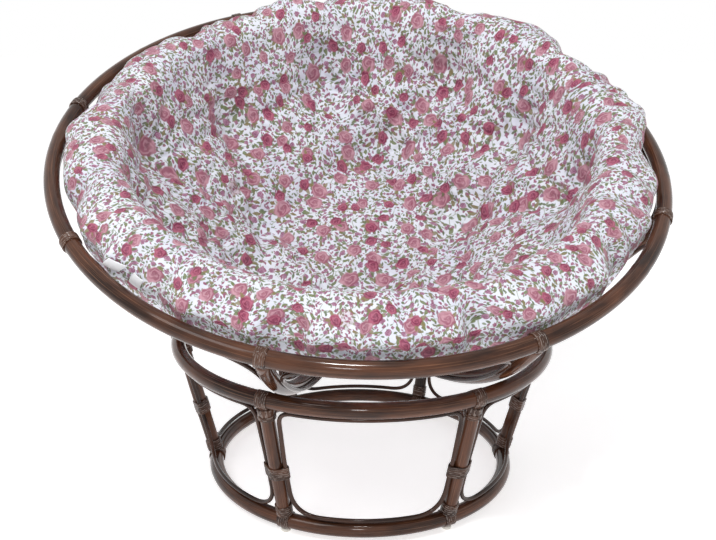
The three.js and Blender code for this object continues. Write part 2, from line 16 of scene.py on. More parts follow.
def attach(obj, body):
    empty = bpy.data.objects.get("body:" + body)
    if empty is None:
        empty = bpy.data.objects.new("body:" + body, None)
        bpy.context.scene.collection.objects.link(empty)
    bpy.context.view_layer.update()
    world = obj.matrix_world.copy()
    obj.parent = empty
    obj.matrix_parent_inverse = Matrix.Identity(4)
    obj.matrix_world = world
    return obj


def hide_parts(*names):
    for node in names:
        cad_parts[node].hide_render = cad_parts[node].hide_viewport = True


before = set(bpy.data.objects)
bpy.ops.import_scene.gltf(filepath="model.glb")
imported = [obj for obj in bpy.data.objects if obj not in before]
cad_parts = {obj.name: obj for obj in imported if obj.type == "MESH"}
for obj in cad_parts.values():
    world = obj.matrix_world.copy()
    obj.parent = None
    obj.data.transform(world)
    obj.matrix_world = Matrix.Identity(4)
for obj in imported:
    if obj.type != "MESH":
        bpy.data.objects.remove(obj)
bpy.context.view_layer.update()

Array = np.ndarray
log = logging.getLogger("papasan")
TAU = 2.0 * math.pi
UP = np.array([0.0, 0.0, 1.0])
# Metres: points of a mesh closer than MERGE are one; poles are drawn SHAVE thinner than their CAD
# solids, so that growth rings stay within; MARGIN is kept from the sphere between bowl and base;
# STRAND is the chart's length for one strand of peel.
MERGE, SHAVE, MARGIN, STRAND = 2e-6, 0.0001, 0.0002, 0.004


def outward(azimuth: Array | float) -> Array:
    """Level unit vector at an azimuth counted from the front (-Y) towards +X."""
    angle = np.asarray(azimuth, float)
    return np.stack([np.sin(angle), -np.cos(angle), np.zeros_like(angle)], -1)


def along(azimuth: Array | float) -> Array:
    """Level unit vector that runs along a ring at an azimuth."""
    angle = np.asarray(azimuth, float)
    return np.stack([np.cos(angle), np.sin(angle), np.zeros_like(angle)], -1)


def unit(vectors: Array) -> Array:
    """Each vector divided by its length."""
    return vectors / np.maximum(np.linalg.norm(vectors, axis=-1, keepdims=True), 1e-12)


def smooth_step(value: Array, low: float, high: float) -> Array:
    """0 below low, 1 above high, and 3t^2 - 2t^3 between them."""
    share = np.clip((value - low) / (high - low), 0.0, 1.0)
    return share * share * (3.0 - 2.0 * share)


def sway(position: Array, span: float, seed: int, waves: int = 4) -> Array:
    """Slow seeded unevenness from -1 to 1 that repeats after span: a sum of cosines of whole waves.

    Args:
        position: places along the span, in any shape.
        span: length after which it repeats.
        seed: number that settles the phases.
        waves: how many cosines are added.

    Returns:
        An array of the shape of position.
    """
    rng = np.random.default_rng(seed)
    phase = rng.uniform(0.0, 2.0 * np.pi, waves)
    weight = rng.uniform(0.4, 1.0, waves) / np.arange(1, waves + 1)
    turns = position[..., None] / span * 2.0 * np.pi * np.arange(1, waves + 1) + phase
    return (np.cos(turns) * weight).sum(-1) / weight.sum()


def round_angles(count: int) -> Array:
    """Angles of evenly spaced points on a circle, from 0."""
    return np.arange(count) / count * TAU


def run_of(points: Array) -> Array:
    """Distance along a line at each of its points."""
    return np.concatenate([[0.0], np.cumsum(np.linalg.norm(np.diff(points, axis=0), axis=1))])


def sample(at: Array, run: Array, values: Array) -> Array:
    """Values at places along a run, interpolated column by column."""
    return np.stack([np.interp(at, run, column) for column in values.T], -1)


def wheel(first: Array, second: Array, angle: Array) -> Array:
    """Spokes at angles counted from the first of two square vectors towards the second."""
    return first * np.cos(angle)[:, None] + second * np.sin(angle)[:, None]


@dataclass(frozen=True)
class Skin:
    """A surface on a grid whose columns, and on demand rows, close on themselves, with a flat chart.

    The chart, in metres, has one column, and one closed row, more than the points.
    """

    points: Array
    chart: Array
    ring_rows: bool = False

    def faces(self) -> tuple[Array, Array]:
        """Quads as point numbers and the same quads as chart numbers, turned so that they face out.

        The sign of the volume, the sum of a . (b x c) over the triangles, says which way they face.
        """
        rows, columns = self.points.shape[:2]
        steps = np.arange(rows if self.ring_rows else rows - 1)
        i, j = (grid.ravel() for grid in np.meshgrid(steps, np.arange(columns), indexing="ij"))
        after, beside = (i + 1) % rows, (j + 1) % columns
        width = self.chart.shape[1]
        quads = [i * columns + j, after * columns + j, after * columns + beside, i * columns + beside]
        charts = [i * width + j, (i + 1) * width + j, (i + 1) * width + j + 1, i * width + j + 1]
        quads, charts = np.stack(quads, 1), np.stack(charts, 1)
        corner = self.points.reshape(-1, 3)[quads]
        first = np.einsum("ij,ij->i", corner[:, 0], np.cross(corner[:, 1], corner[:, 2]))
        second = np.einsum("ij,ij->i", corner[:, 0], np.cross(corner[:, 2], corner[:, 3]))
        if (first + second).sum() < 0.0:
            quads, charts = quads[:, ::-1], charts[:, ::-1]
        return quads, charts


def new_object(
    name: str, points: Array, quads: Array, chart: Array, material: bpy.types.Material, merge: bool = False,
) -> bpy.types.Object:
    """Smooth mesh object at the origin, its faces turned out.

    Args:
        name: name of the object and its mesh.
        points: vertices in metres.
        quads: faces as vertex numbers.
        chart: place on the flat chart at each corner of each face, in metres.
        material: finish of the whole object.
        merge: joins vertices that are closer than MERGE.

    Returns:
        The new object, linked to the scene.
    """
    mesh = bpy.data.meshes.new(name)
    mesh.from_pydata(points.tolist(), [], quads.tolist())
    mesh.uv_layers.new(name="chart").data.foreach_set("uv", chart.astype(np.float32).ravel())
    shell = bmesh.new()
    shell.from_mesh(mesh)
    if merge:
        bmesh.ops.remove_doubles(shell, verts=shell.verts, dist=MERGE)
    if shell.calc_volume(signed=True) < 0.0:
        bmesh.ops.reverse_faces(shell, faces=shell.faces)
    shell.to_mesh(mesh)
    shell.free()
    mesh.polygons.foreach_set("use_smooth", np.ones(len(mesh.polygons), bool))
    mesh.materials.append(material)
    piece = bpy.data.objects.new(name, mesh)
    bpy.context.scene.collection.objects.link(piece)
    return piece


def make_piece(name: str, skins: list[Skin], material: bpy.types.Material) -> bpy.types.Object:
    """Joins closed skins, in the shared frame, into one object with their chart as its UV map."""
    points, quads, charts, start = [], [], [], 0
    for skin in skins:
        faces, corners = skin.faces()
        points.append(skin.points.reshape(-1, 3))
        quads.append(faces + start)
        charts.append(skin.chart.reshape(-1, 2)[corners])
        start += points[-1].shape[0]
    return new_object(name, *(np.concatenate(rows) for rows in (points, quads, charts)), material, merge=True)


def settle(piece: bpy.types.Object, body: str, slot: str, *nodes: str) -> None:
    """Hangs a piece on its body, hides the CAD nodes that it stands for, and reports it."""
    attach(piece, body)
    if nodes:
        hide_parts(*nodes)
    log.info("%s: %d faces, rides on %s", piece.name, len(piece.data.polygons), body)


# Shader values and nodes


def node_method(operation: str, swapped: bool = False) -> Callable[..., "Value"]:
    """Method of Value that adds a Math node on the value and what it is given, or the other way round."""

    def method(self: "Value", *others: Any) -> "Value":
        """The node's result."""
        return self.bench.math(operation, *((*others, self) if swapped else (self, *others)))

    return method


@dataclass(frozen=True, eq=False)
class Value:
    """A socket inside one bench of nodes, on which plain arithmetic adds Math nodes."""

    bench: "Bench"
    socket: bpy.types.NodeSocket

    __add__ = __radd__ = node_method("ADD")
    __mul__ = __rmul__ = node_method("MULTIPLY")
    __sub__, __rsub__ = node_method("SUBTRACT"), node_method("SUBTRACT", swapped=True)
    __truediv__ = node_method("DIVIDE")
    sine, cosine, size = node_method("SINE"), node_method("COSINE"), node_method("ABSOLUTE")

    def above(self, low: float, high: float) -> "Value":
        """Soft mask: 0 where the value is under low, 1 where it is over high."""
        settings, limits = {"interpolation_type": "SMOOTHSTEP"}, {"From Min": low, "From Max": high}
        return self.bench.make("ShaderNodeMapRange", settings, Value=self, **limits)[0]

    def below(self, low: float, high: float) -> "Value":
        """Soft mask: 1 where the value is under low, 0 where it is over high."""
        return 1.0 - self.above(low, high)


@dataclass
class Bench:
    """The nodes of one material or world, made through a single method."""

    owner: bpy.types.Material | bpy.types.World

    def __post_init__(self) -> None:
        """Starts the owner with an empty tree."""
        self.owner.use_nodes = True
        self.tree = self.owner.node_tree
        self.tree.nodes.clear()

    @classmethod
    def of_material(cls, name: str) -> "Bench":
        """Bench of a new material."""
        return cls(bpy.data.materials.new(name))

    def make(self, kind: str, settings: dict[str, Any] | None = None, **sockets: Any) -> list[Value]:
        """Adds a node of a kind.

        Args:
            kind: Blender's name of the node type.
            settings: properties that are set before the sockets.
            sockets: values or links by socket name, or by number as n0, n1 and so on.

        Returns:
            Its outputs as values.
        """
        node = self.tree.nodes.new(kind)
        for key, value in (settings or {}).items():
            setattr(node, key, value)
        for key, value in sockets.items():
            target = node.inputs[int(key[1:])] if key[0] == "n" and key[1:].isdigit() else node.inputs[key]
            if isinstance(value, Value):
                self.tree.links.new(value.socket, target)
            else:
                target.default_value = value
        return [Value(self, socket) for socket in node.outputs]

    def terms(self, kind: str, operation: str, terms: tuple) -> list[Value]:
        """Node of a kind whose first inputs are the terms, in order."""
        return self.make(kind, {"operation": operation}, **{f"n{i}": term for i, term in enumerate(terms)})

    def math(self, operation: str, *terms: Any) -> Value:
        """Math node on one or two terms."""
        return self.terms("ShaderNodeMath", operation, terms)[0]

    def vector(self, operation: str, *terms: Any) -> list[Value]:
        """Vector Math node on one or two terms."""
        return self.terms("ShaderNodeVectorMath", operation, terms)

    def split(self, place: Value) -> list[Value]:
        """The three parts of a vector or a colour."""
        return self.make("ShaderNodeSeparateXYZ", None, Vector=place)

    def blend(self, share: Any, first: Any, second: Any) -> Value:
        """Colour that goes from the first to the second as the share goes from 0 to 1."""
        colours = {"n0": share, "n6": first, "n7": second}
        return self.make("ShaderNodeMix", {"data_type": "RGBA"}, **colours)[2]

    def chart(self) -> Value:
        """The piece's own flat chart, in metres."""
        return self.make("ShaderNodeUVMap", {"uv_map": "chart"})[0]

    def stretched(self, place: Value, scale: tuple[float, float, float]) -> Value:
        """A place multiplied axis by axis."""
        return self.vector("MULTIPLY", place, scale)[0]

    def noise(self, place: Value, scale: float, detail: float = 3.0, roughness: float = 0.5) -> Value:
        """Soft noise from 0 to 1 with the given number of bumps in a metre."""
        given = {"Vector": place, "Scale": scale, "Detail": detail, "Roughness": roughness}
        return self.make("ShaderNodeTexNoise", {"noise_dimensions": "3D"}, **given)[0]

    def bump(self, height: Value, distance: float, strength: float = 1.0) -> Value:
        """Normal from a height whose full range is the distance in metres."""
        return self.make("ShaderNodeBump", None, Height=height, Distance=distance, Strength=strength)[0]

    def finish(self, **sockets: Any) -> bpy.types.Material:
        """Principled surface with the given sockets, wired to the output."""
        named = {key.replace("_", " "): value for key, value in sockets.items()}
        surface = self.make("ShaderNodeBsdfPrincipled", None, **named)[0]
        self.make("ShaderNodeOutputMaterial", None, Surface=surface)
        return self.owner


def paint(code: str) -> tuple[float, float, float, float]:
    """Linear colour from a six-figure screen colour: ((c + 0.055) / 1.055) ^ 2.4 above 0.04045."""
    shares = [int(code[i:i + 2], 16) / 255.0 for i in (0, 2, 4)]
    red, green, blue = (((c + 0.055) / 1.055) ** 2.4 if c > 0.04045 else c / 12.92 for c in shares)
    return (red, green, blue, 1.0)


class Shade(Enum):
    """Named stains of the rattan."""

    POLE = ("22110a", "5c3826", "9a6c50")
    ROD = ("1c0e08", "462a1d", "744c38")
    PEEL = ("26150d", "583a2b", "8a6552")


@dataclass(frozen=True)
class RattanFinish:
    """Dark reddish-brown stain under semi-gloss lacquer, streaked along the fibre; strands of peel get a
    painted glint on their shoulders and painted shade in the gaps between them.
    """

    name: str
    shade: Shade
    fibres: float = 620.0
    streak_length: float = 7.0
    gloss: float = 0.25
    grain_depth: float = 0.00035
    strand: float = 0.0
    # Tone of the painted glint on strands of peel.
    glint_colour: str = "b9aaa2"
    cloud_scale: tuple[float, float, float] = (9.0, 30.0, 1.0)
    pore_scale: tuple[float, float, float] = (60.0, 1500.0, 1.0)
    patch_scale: tuple[float, float, float] = (150.0, 300.0, 1.0)
    light_share: float = 0.55
    pore_share: float = 0.4
    # Strength of the painted glint on strands of peel.
    glint_share: float = 0.42
    # Strength of the painted shade in the gaps between strands of peel.
    gap_shade_share: float = 0.6
    ior: float = 1.07
    lacquer_ior: float = 1.34
    lacquer_roughness: float = 0.1

    def dress(self) -> bpy.types.Material:
        """Builds the material: fibre noise stretched along the chart's first axis tints and roughens it."""
        bench = Bench.of_material(self.name)
        dark, middle, light = (paint(code) for code in self.shade.value)
        chart = bench.chart()
        fibre = bench.noise(bench.stretched(chart, (self.streak_length, self.fibres, 1.0)), 1.0, 4.0, 0.6)
        cloud = bench.noise(bench.stretched(chart, self.cloud_scale), 1.0, 3.0)
        pores = bench.noise(bench.stretched(chart, self.pore_scale), 1.0, 2.0)
        body = bench.blend(cloud.above(0.3, 0.72), dark, middle)
        body = bench.blend(fibre.above(0.5, 0.78) * self.light_share, body, light)
        body = bench.blend(pores.above(0.6, 0.74) * self.pore_share, body, dark)
        if self.strand:
            across = bench.split(chart)[1]
            from_middle = (bench.math("FRACT", across / self.strand) - 0.5).size() * 2.0
            patchy = bench.noise(bench.stretched(chart, self.patch_scale), 1.0, 2.0).above(0.42, 0.6)
            # Painted glint: a patchy light grey tone on the shoulders of each strand, standing in for
            # lamplight caught there.
            painted_glint = from_middle.above(0.45, 0.7) * patchy * self.glint_share
            body = bench.blend(painted_glint, body, paint(self.glint_colour))
            # Painted shade: the gaps between strands are darkened towards the dark tone.
            body = bench.blend(from_middle.above(0.82, 1.0) * self.gap_shade_share, body, dark)
        rough = fibre * 0.16 + (self.gloss - 0.04) + cloud * 0.06
        normal = bench.bump(fibre * 0.7 + pores * 0.3, self.grain_depth, 0.5)
        return bench.finish(
            Base_Color=body, Roughness=rough, Normal=normal, IOR=self.ior,
            Coat_Weight=1.0, Coat_Roughness=self.lacquer_roughness, Coat_IOR=self.lacquer_ior,
        )


@dataclass(frozen=True)
class GlideFinish:
    """Off-white moulded plastic with a faint scuff."""

    name: str = "glide_plastic"
    light: str = "dedad2"
    dark: str = "a9a298"
    scuffs: float = 260.0

    def dress(self) -> bpy.types.Material:
        """Builds the material: scuffs from noise in object space."""
        bench = Bench.of_material(self.name)
        place = bench.make("ShaderNodeTexCoord")[3]
        scuff = bench.noise(place, self.scuffs, 4.0, 0.6)
        colour = bench.blend(scuff.above(0.5, 0.75) * 0.5, paint(self.light), paint(self.dark))
        normal = bench.bump(scuff, 0.0001, 0.4)
        return bench.finish(Base_Color=colour, Roughness=scuff * 0.3 + 0.38, Normal=normal)


@dataclass(frozen=True)
class Bloom:
    """One kind of printed rose: how far apart, how large, how often, and its two tones."""

    cell: float
    small: float
    large: float
    rarity: float
    shift: tuple[float, float, float]
    light: str
    dark: str
    leafy: float


@dataclass(frozen=True)
class RosePrint:
    """White cotton with a common print of roses, buds, leaves and fine stems."""

    name: str = "rose_print_cotton"
    blooms: tuple[Bloom, ...] = (
        Bloom(0.027, 0.0034, 0.0058, 0.10, (2.3, 8.1, 0.0), "b98fa6", "86506f", 0.0),
        Bloom(0.060, 0.0125, 0.0170, 0.20, (3.1, 1.7, 0.0), "c898a4", "99596d", 1.0),
        Bloom(0.056, 0.0098, 0.0132, 0.36, (7.3, 4.9, 0.0), "b5637b", "7c2c4b", 1.0),
    )
    cloth: str = "e4e7f0"
    shadow: str = "d0d2e4"
    leaf: str = "66704a"
    sepal: str = "84784f"
    pale_leaf: str = "8d987c"
    bud: str = "955a76"
    bud_cell: float = 0.0165
    warp: float = 0.014
    warp_scale: float = 16.0
    stem_cells: float = 46.0
    leaf_reach: float = 0.0078
    leaf_width: float = 0.0036
    threads: float = 5200.0
    crumples: float = 38.0
    sprigs: tuple[tuple[float, float, float, float, tuple, str, str], ...] = (
        (0.0080, 0.0033, 0.0015, 0.20, (0.7, 9.2, 0.0), "808c72", "8d5166"),
        (0.0102, 0.0042, 0.0020, 0.22, (4.4, 3.3, 0.0), "5f6c4c", "8c4b66"),
        (0.0160, 0.0066, 0.0030, 0.28, (5.7, 2.2, 0.0), "6f7a4e", "7d7149"),
    )

    def cells(
        self, bench: Bench, place: Value, cell: float, shift: tuple, looseness: float,
    ) -> dict[str, Value]:
        """Scattered spots, one in each cell of a loose grid.

        Args:
            bench: where the nodes are made.
            place: chart position in metres.
            cell: mean distance between spots in metres.
            shift: moves the whole scatter, so that two of them differ.
            looseness: 0 for an even grid, 1 for a free scatter.

        Returns:
            Offset from the spot as x and y, distance, angle, and three random numbers of the spot.
        """
        moved = bench.vector("ADD", place, shift)[0]
        settings = {"voronoi_dimensions": "2D", "feature": "F1"}
        given = {"Vector": moved, "Scale": 1.0 / cell, "Randomness": looseness}
        found = bench.make("ShaderNodeTexVoronoi", settings, **given)
        x, y, _ = bench.split(bench.vector("SUBTRACT", moved, found[2])[0])
        one, two, three = bench.split(found[1])
        far, turn = bench.math("SQRT", x * x + y * y), bench.math("ARCTAN2", y, x)
        return {"x": x, "y": y, "far": far, "turn": turn, "a": one, "b": two, "c": three}

    def leaves(
        self, bench: Bench, spot: dict[str, Value], length: float, width: float, rarity: float,
    ) -> Value:
        """Pointed leaf turned by the spot's own angle: |across| under width times 1 - (along / length)^2."""
        turn = spot["a"] * TAU
        u = spot["x"] * turn.cosine() + spot["y"] * turn.sine()
        v = spot["y"] * turn.cosine() - spot["x"] * turn.sine()
        share = u / length
        edge = (1.0 - share * share) * width - v.size()
        return edge.above(-0.0004, 0.0007) * spot["b"].above(rarity, rarity + 0.01)

    def rose(self, bench: Bench, base: Value, place: Value, bloom: Bloom) -> Value:
        """Lays one kind of rose with its leaves on the colour underneath.

        The outline is a circle waved five and eight times; petals are a spiral of sine bands.
        """
        spot = self.cells(bench, place, bloom.cell, bloom.shift, 0.7)
        kept = spot["c"].above(bloom.rarity, bloom.rarity + 0.01)
        radius = spot["a"] * (bloom.large - bloom.small) + bloom.small
        lobes = (spot["turn"] * 5.0 + spot["b"] * 6.3).sine() * 0.05
        lobes = lobes + (spot["turn"] * 9.0 + spot["c"] * 9.0).sine() * 0.035
        share = spot["far"] / (radius * (lobes + 1.0))
        under = base
        if bloom.leafy:
            spread = bench.math("PINGPONG", spot["turn"] + spot["b"] * 6.3, math.pi / 3.0) - math.pi / 6.0
            beyond = (spot["far"] - radius * 1.12) / self.leaf_reach
            leaf = (1.0 - beyond * beyond) * self.leaf_width - (spread * spot["far"]).size()
            leaf = leaf.above(-0.0005, 0.0009)
            leaf = leaf * (spot["turn"] + spot["c"] * 40.0).sine().above(-0.1, 0.05)
            tone = bench.blend(spot["b"].above(0.3, 0.7), paint(self.sepal), paint(self.leaf))
            under = bench.blend(leaf * kept * 0.85, base, tone)
        spiral = (share * 13.0 + spot["turn"] + (spot["turn"] * 3.0 + share * 5.0).sine() * 1.3).sine()
        petal = bench.blend(spiral.above(-0.7, 0.9) * 0.8, paint(bloom.dark), paint(bloom.light))
        petal = bench.blend(share.below(0.1, 0.42) * 0.55, petal, paint(bloom.dark))
        side = (spot["x"] * (spot["b"] * 6.3).cosine() + spot["y"] * (spot["b"] * 6.3).sine()) / radius
        petal = bench.blend(side.above(-0.2, 0.9) * 0.6, petal, paint(bloom.light))
        petal = bench.blend(side.below(-0.9, 0.0) * 0.4, petal, paint(bloom.dark))
        return bench.blend(share.below(0.86, 1.06) * kept * 0.96, under, petal)

    def dress(self) -> bpy.types.Material:
        """Builds the material: print from scattered spots on the chart, weave and crumple from noise."""
        bench = Bench.of_material(self.name)
        chart = bench.chart()
        flat = {"noise_dimensions": "2D"}
        drift = bench.make("ShaderNodeTexNoise", flat, Vector=chart, Scale=self.warp_scale, Detail=2.0)[1]
        drift = bench.vector("SUBTRACT", drift, (0.5, 0.5, 0.5))[0]
        place = bench.vector("ADD", chart, bench.stretched(drift, (self.warp, self.warp, 0.0)))[0]
        mottle = bench.noise(chart, 9.0, 2.0)
        colour = bench.blend(mottle.above(0.35, 0.75) * 0.6, paint(self.cloth), paint(self.shadow))
        edges = bench.make(
            "ShaderNodeTexVoronoi", {"voronoi_dimensions": "2D", "feature": "DISTANCE_TO_EDGE"},
            Vector=place, Scale=self.stem_cells, Randomness=1.0,
        )[0]
        broken = bench.noise(chart, 60.0, 1.0).above(0.42, 0.52)
        colour = bench.blend(edges.below(0.015, 0.05) * broken * 0.7, colour, paint(self.pale_leaf))
        for cell, length, width, rarity, shift, tone, other in self.sprigs:
            spot = self.cells(bench, place, cell, shift, 0.95)
            tint = bench.blend(spot["c"].above(0.6, 0.62), paint(tone), paint(other))
            colour = bench.blend(self.leaves(bench, spot, length, width, rarity) * 0.92, colour, tint)
        buds = self.cells(bench, place, self.bud_cell, (1.3, 6.1, 0.0), 0.9)
        petals = (buds["turn"] * 4.0 + buds["a"] * 6.3).sine() * 0.0006
        bud = (buds["far"] + petals).below(0.0022, 0.0036) * buds["b"].above(0.2, 0.21)
        colour = bench.blend(bud * 0.9, colour, paint(self.bud))
        for bloom in self.blooms:
            colour = self.rose(bench, colour, place, bloom)
        x, y, _ = bench.split(chart)
        weave = (x * self.threads).sine() * (y * self.threads).sine()
        crumple = bench.noise(chart, self.crumples, 4.0, 0.55)
        normal = bench.bump(crumple + weave * 0.01, 0.006, 0.6)
        return bench.finish(
            Base_Color=colour, Roughness=crumple * 0.1 + 0.82, Normal=normal, Sheen_Weight=0.12, IOR=1.45,
        )


@dataclass(frozen=True)
class TagFinish:
    """Blank white satin ribbon of the sewn-in tags."""

    name: str = "tag_ribbon"
    light: str = "f4f5f8"
    dark: str = "dfe2ea"
    ribs: float = 7000.0

    def dress(self) -> bpy.types.Material:
        """Builds the material: a fine ribbed weave across the chart."""
        bench = Bench.of_material(self.name)
        rib = (bench.split(bench.chart())[0] * self.ribs).sine() * 0.5 + 0.5
        cloud = bench.noise(bench.chart(), 90.0)
        colour = bench.blend(cloud.above(0.4, 0.7) * 0.4, paint(self.light), paint(self.dark))
        normal = bench.bump(rib, 0.00005, 0.4)
        return bench.finish(Base_Color=colour, Roughness=rib * 0.1 + 0.5, Normal=normal)


# Poles, rods and windings


@dataclass(frozen=True)
class Pole:
    """A bent pole: a near-round section carried along a path.

    P(s, a) = path(s) + r(s, a) (cos a * facing + sin a * side). r is the radius, less a little
    unevenness, plus a low ridge at each growth ring. Open ends are rounded as a quarter ellipse.
    """

    path: Array
    facing: Array
    radius: float
    closed: bool
    seed: int
    sides: int = 20
    step: float = 0.012
    ridge: float = 0.0004
    spacing: float = 0.23
    unevenness: float = 0.0004
    rounding: float = 0.45
    reach: float = 0.002

    def stations(self, length: float) -> Array:
        """Distances along the path at which the section is set, closer together at rounded ends."""
        count = max(int(length / self.step), 8)
        if self.closed:
            return np.arange(count) * length / count
        end = self.radius * self.rounding
        ramp = end * (1.0 - np.cos(np.linspace(0.0, np.pi / 2.0, 7)))
        middle = np.linspace(end, length - end, count)
        return np.concatenate([ramp[:-1], middle, (length - ramp[::-1])[1:]])

    def radii(self, place: Array, length: float, angle: Array) -> Array:
        """Radius at each place and angle: growth rings, slow unevenness, a slight oval, rounded ends."""
        rng = np.random.default_rng(self.seed)
        rings = np.arange(rng.uniform(0.3, 0.9) * self.spacing, length, self.spacing)
        rings = rings + rng.uniform(-0.22, 0.22, rings.shape) * self.spacing
        from_ring = place[:, None] - rings[None, :]
        hollow = 0.4 * np.exp(-(((from_ring - 0.009) / 0.006) ** 2))
        swell = (np.exp(-((from_ring / 0.0035) ** 2)) - hollow).sum(1)
        slack = self.unevenness * (1.0 - sway(place, length, self.seed, 7))
        oval = 0.35 * self.unevenness * (1.0 - np.cos(2.0 * angle + self.seed))
        radius = self.radius - self.ridge + self.ridge * swell[:, None] - 0.5 * slack[:, None] - oval
        if self.closed:
            return radius
        near = np.clip(np.minimum(place, length - place) / (self.radius * self.rounding), 0.0, 1.0)
        return radius * np.sqrt(np.clip(1.0 - (1.0 - near) ** 2, 0.0, 1.0))[:, None]

    def skin(self) -> Skin:
        """The pole's surface, with its length and girth as the chart."""
        line, face = self.path, self.facing
        if self.closed:
            line, face = (np.concatenate([points, points[:1]]) for points in (line, face))
        run = run_of(line)
        length = run[-1]
        place = self.stations(length)
        centre, normal = sample(place, run, line), sample(place, run, face)
        if self.closed:
            tangent = np.roll(centre, -1, 0) - np.roll(centre, 1, 0)
        else:
            ahead = sample(np.minimum(place + self.reach, length), run, line)
            tangent = ahead - sample(np.maximum(place - self.reach, 0.0), run, line)
        tangent = unit(tangent)
        side = unit(np.cross(tangent, normal))
        normal = np.cross(side, tangent)
        angle = round_angles(self.sides)
        cosine, sine = np.cos(angle)[:, None], np.sin(angle)[:, None]
        spoke = normal[:, None] * cosine + side[:, None] * sine
        points = centre[:, None] + spoke * self.radii(place, length, angle)[..., None]
        rows = np.append(place, length) if self.closed else place
        girth = np.arange(self.sides + 1) / self.sides * TAU * self.radius
        chart = np.stack(np.meshgrid(rows + 1.7 * self.seed, girth, indexing="ij"), -1)
        return Skin(points, chart, ring_rows=self.closed)


@dataclass(frozen=True)
class Winding:
    """A few turns of flat rattan peel wound side by side round a pole.

    The outer wall is core + thickness * ridge(u), where u counts strands along the axis and
    advances by one strand in each turn; the section closes inside the pole.
    """

    core: float
    strands: int
    strand: float
    thickness: float
    seed: int
    inner: float = 0.0012
    sides: int = 40
    samples: int = 7
    arch_foot: float = 0.12
    arch_power: float = 2.6
    thinnest: float = 0.82

    @property
    def half(self) -> float:
        """Half of the winding's width."""
        return self.strands * self.strand / 2.0

    def passed(self, across: Array) -> Array:
        """How many strands have passed at places along the axis."""
        return (across + self.half) / self.strand

    def wall(self, count: Array, shown: Array) -> Array:
        """Radius where count strands have passed: an uneven low arch per strand, or the hidden inner wall."""
        rng = np.random.default_rng(self.seed)
        uneven = rng.uniform(self.thinnest, 1.0, self.strands + 4)
        which = np.clip(np.floor(count).astype(int) + 1, 0, self.strands + 3)
        share = np.abs(2.0 * (count - np.floor(count)) - 1.0)
        arch = self.arch_foot + (1.0 - self.arch_foot) * (1.0 - share ** self.arch_power) ** 0.5
        lift = arch * uneven[which]
        return self.core + self.thickness * lift * shown - self.inner * (1.0 - shown)

    def section(self) -> tuple[Array, Array]:
        """Places along the axis from end to end, and a mask that is 0 on the hidden inner wall."""
        half = self.half
        outer = np.linspace(-half, half, self.strands * self.samples + 1)
        across = np.concatenate([[-half], outer, [half, half * 0.4, -half * 0.4]])
        shown = np.concatenate([[0.0], np.ones_like(outer), np.zeros(3)])
        return across, shown

    def skin(self, centre: Array, axis: Array, out: Array, bend: float = 0.0) -> Skin:
        """Winding about an axis through a centre.

        Args:
            centre: middle of the winding.
            axis: unit vector along the pole.
            out: unit vector across it, from which the angle is counted.
            bend: radius of the ring that the pole follows towards -out, or 0 for a straight pole.
        """
        angle = round_angles(self.sides)
        across, shown = self.section()
        radius = self.wall(self.passed(across)[None, :] + angle[:, None] / TAU, shown)
        spoke = wheel(out, np.cross(axis, out), angle)
        sag = across ** 2 / (2.0 * bend) if bend else np.zeros_like(across)
        points = centre + axis * across[None, :, None] + spoke[:, None] * radius[..., None]
        points = points - out * sag[None, :, None]
        girth = np.arange(self.sides + 1) / self.sides * TAU * self.core
        return Skin(points, self.strand_chart(girth, across), ring_rows=True)

    def strand_chart(self, girth: Array, across: Array) -> Array:
        """Chart of a winding: length along the strand, and strands passed times STRAND.

        Args:
            girth: distance round the pole at each row, one more than the rows of points.
            across: places along the axis.
        """
        columns = self.passed(np.append(across, across[0])) + 40.0 * self.seed
        count = columns[None, :] + (girth / girth[-1])[:, None]
        return np.stack([np.broadcast_to(girth[:, None], count.shape), count * STRAND], -1)


@dataclass(frozen=True)
class Bay:
    """Outline of a rod bent round a bay: straight runs and sides joined by quadratic corners.

    half(up) gives the half width; the outline is mirrored about the bay's middle.
    """

    low: float
    high: float
    low_corner: float
    high_corner: float

    def outline(self, half: Any) -> tuple[Array, Array]:
        """Across and up along the whole loop, evenly spaced."""
        share = np.linspace(0.0, 1.0, 24)[:, None]

        def corner(start: tuple, tip: tuple, end: tuple) -> Array:
            """Quadratic curve (1-t)^2 start + 2t(1-t) tip + t^2 end."""
            a, b, c = (np.array(p, float) for p in (start, tip, end))
            return (1 - share) ** 2 * a + 2 * share * (1 - share) * b + share ** 2 * c

        low_top, high_bottom = self.low + self.low_corner, self.high - self.high_corner
        rise = np.linspace(low_top, high_bottom, 40)[1:-1]
        low_half, high_half = half(self.low), half(self.high)
        right = np.concatenate([
            [(0.0, self.low)],
            corner((low_half - self.low_corner, self.low), (low_half, self.low), (half(low_top), low_top)),
            np.stack([half(rise), rise], 1),
            corner((half(high_bottom), high_bottom), (high_half, self.high),
                   (high_half - self.high_corner, self.high)),
            [(0.0, self.high)],
        ])
        loop = np.concatenate([right, (right * [-1.0, 1.0])[-2:0:-1]])
        closed = np.concatenate([loop, loop[:1]])
        run = run_of(closed)
        even = (np.arange(260) / 260.0 + 0.25) % 1.0 * run[-1]
        return np.interp(even, run, closed[:, 0]), np.interp(even, run, closed[:, 1])


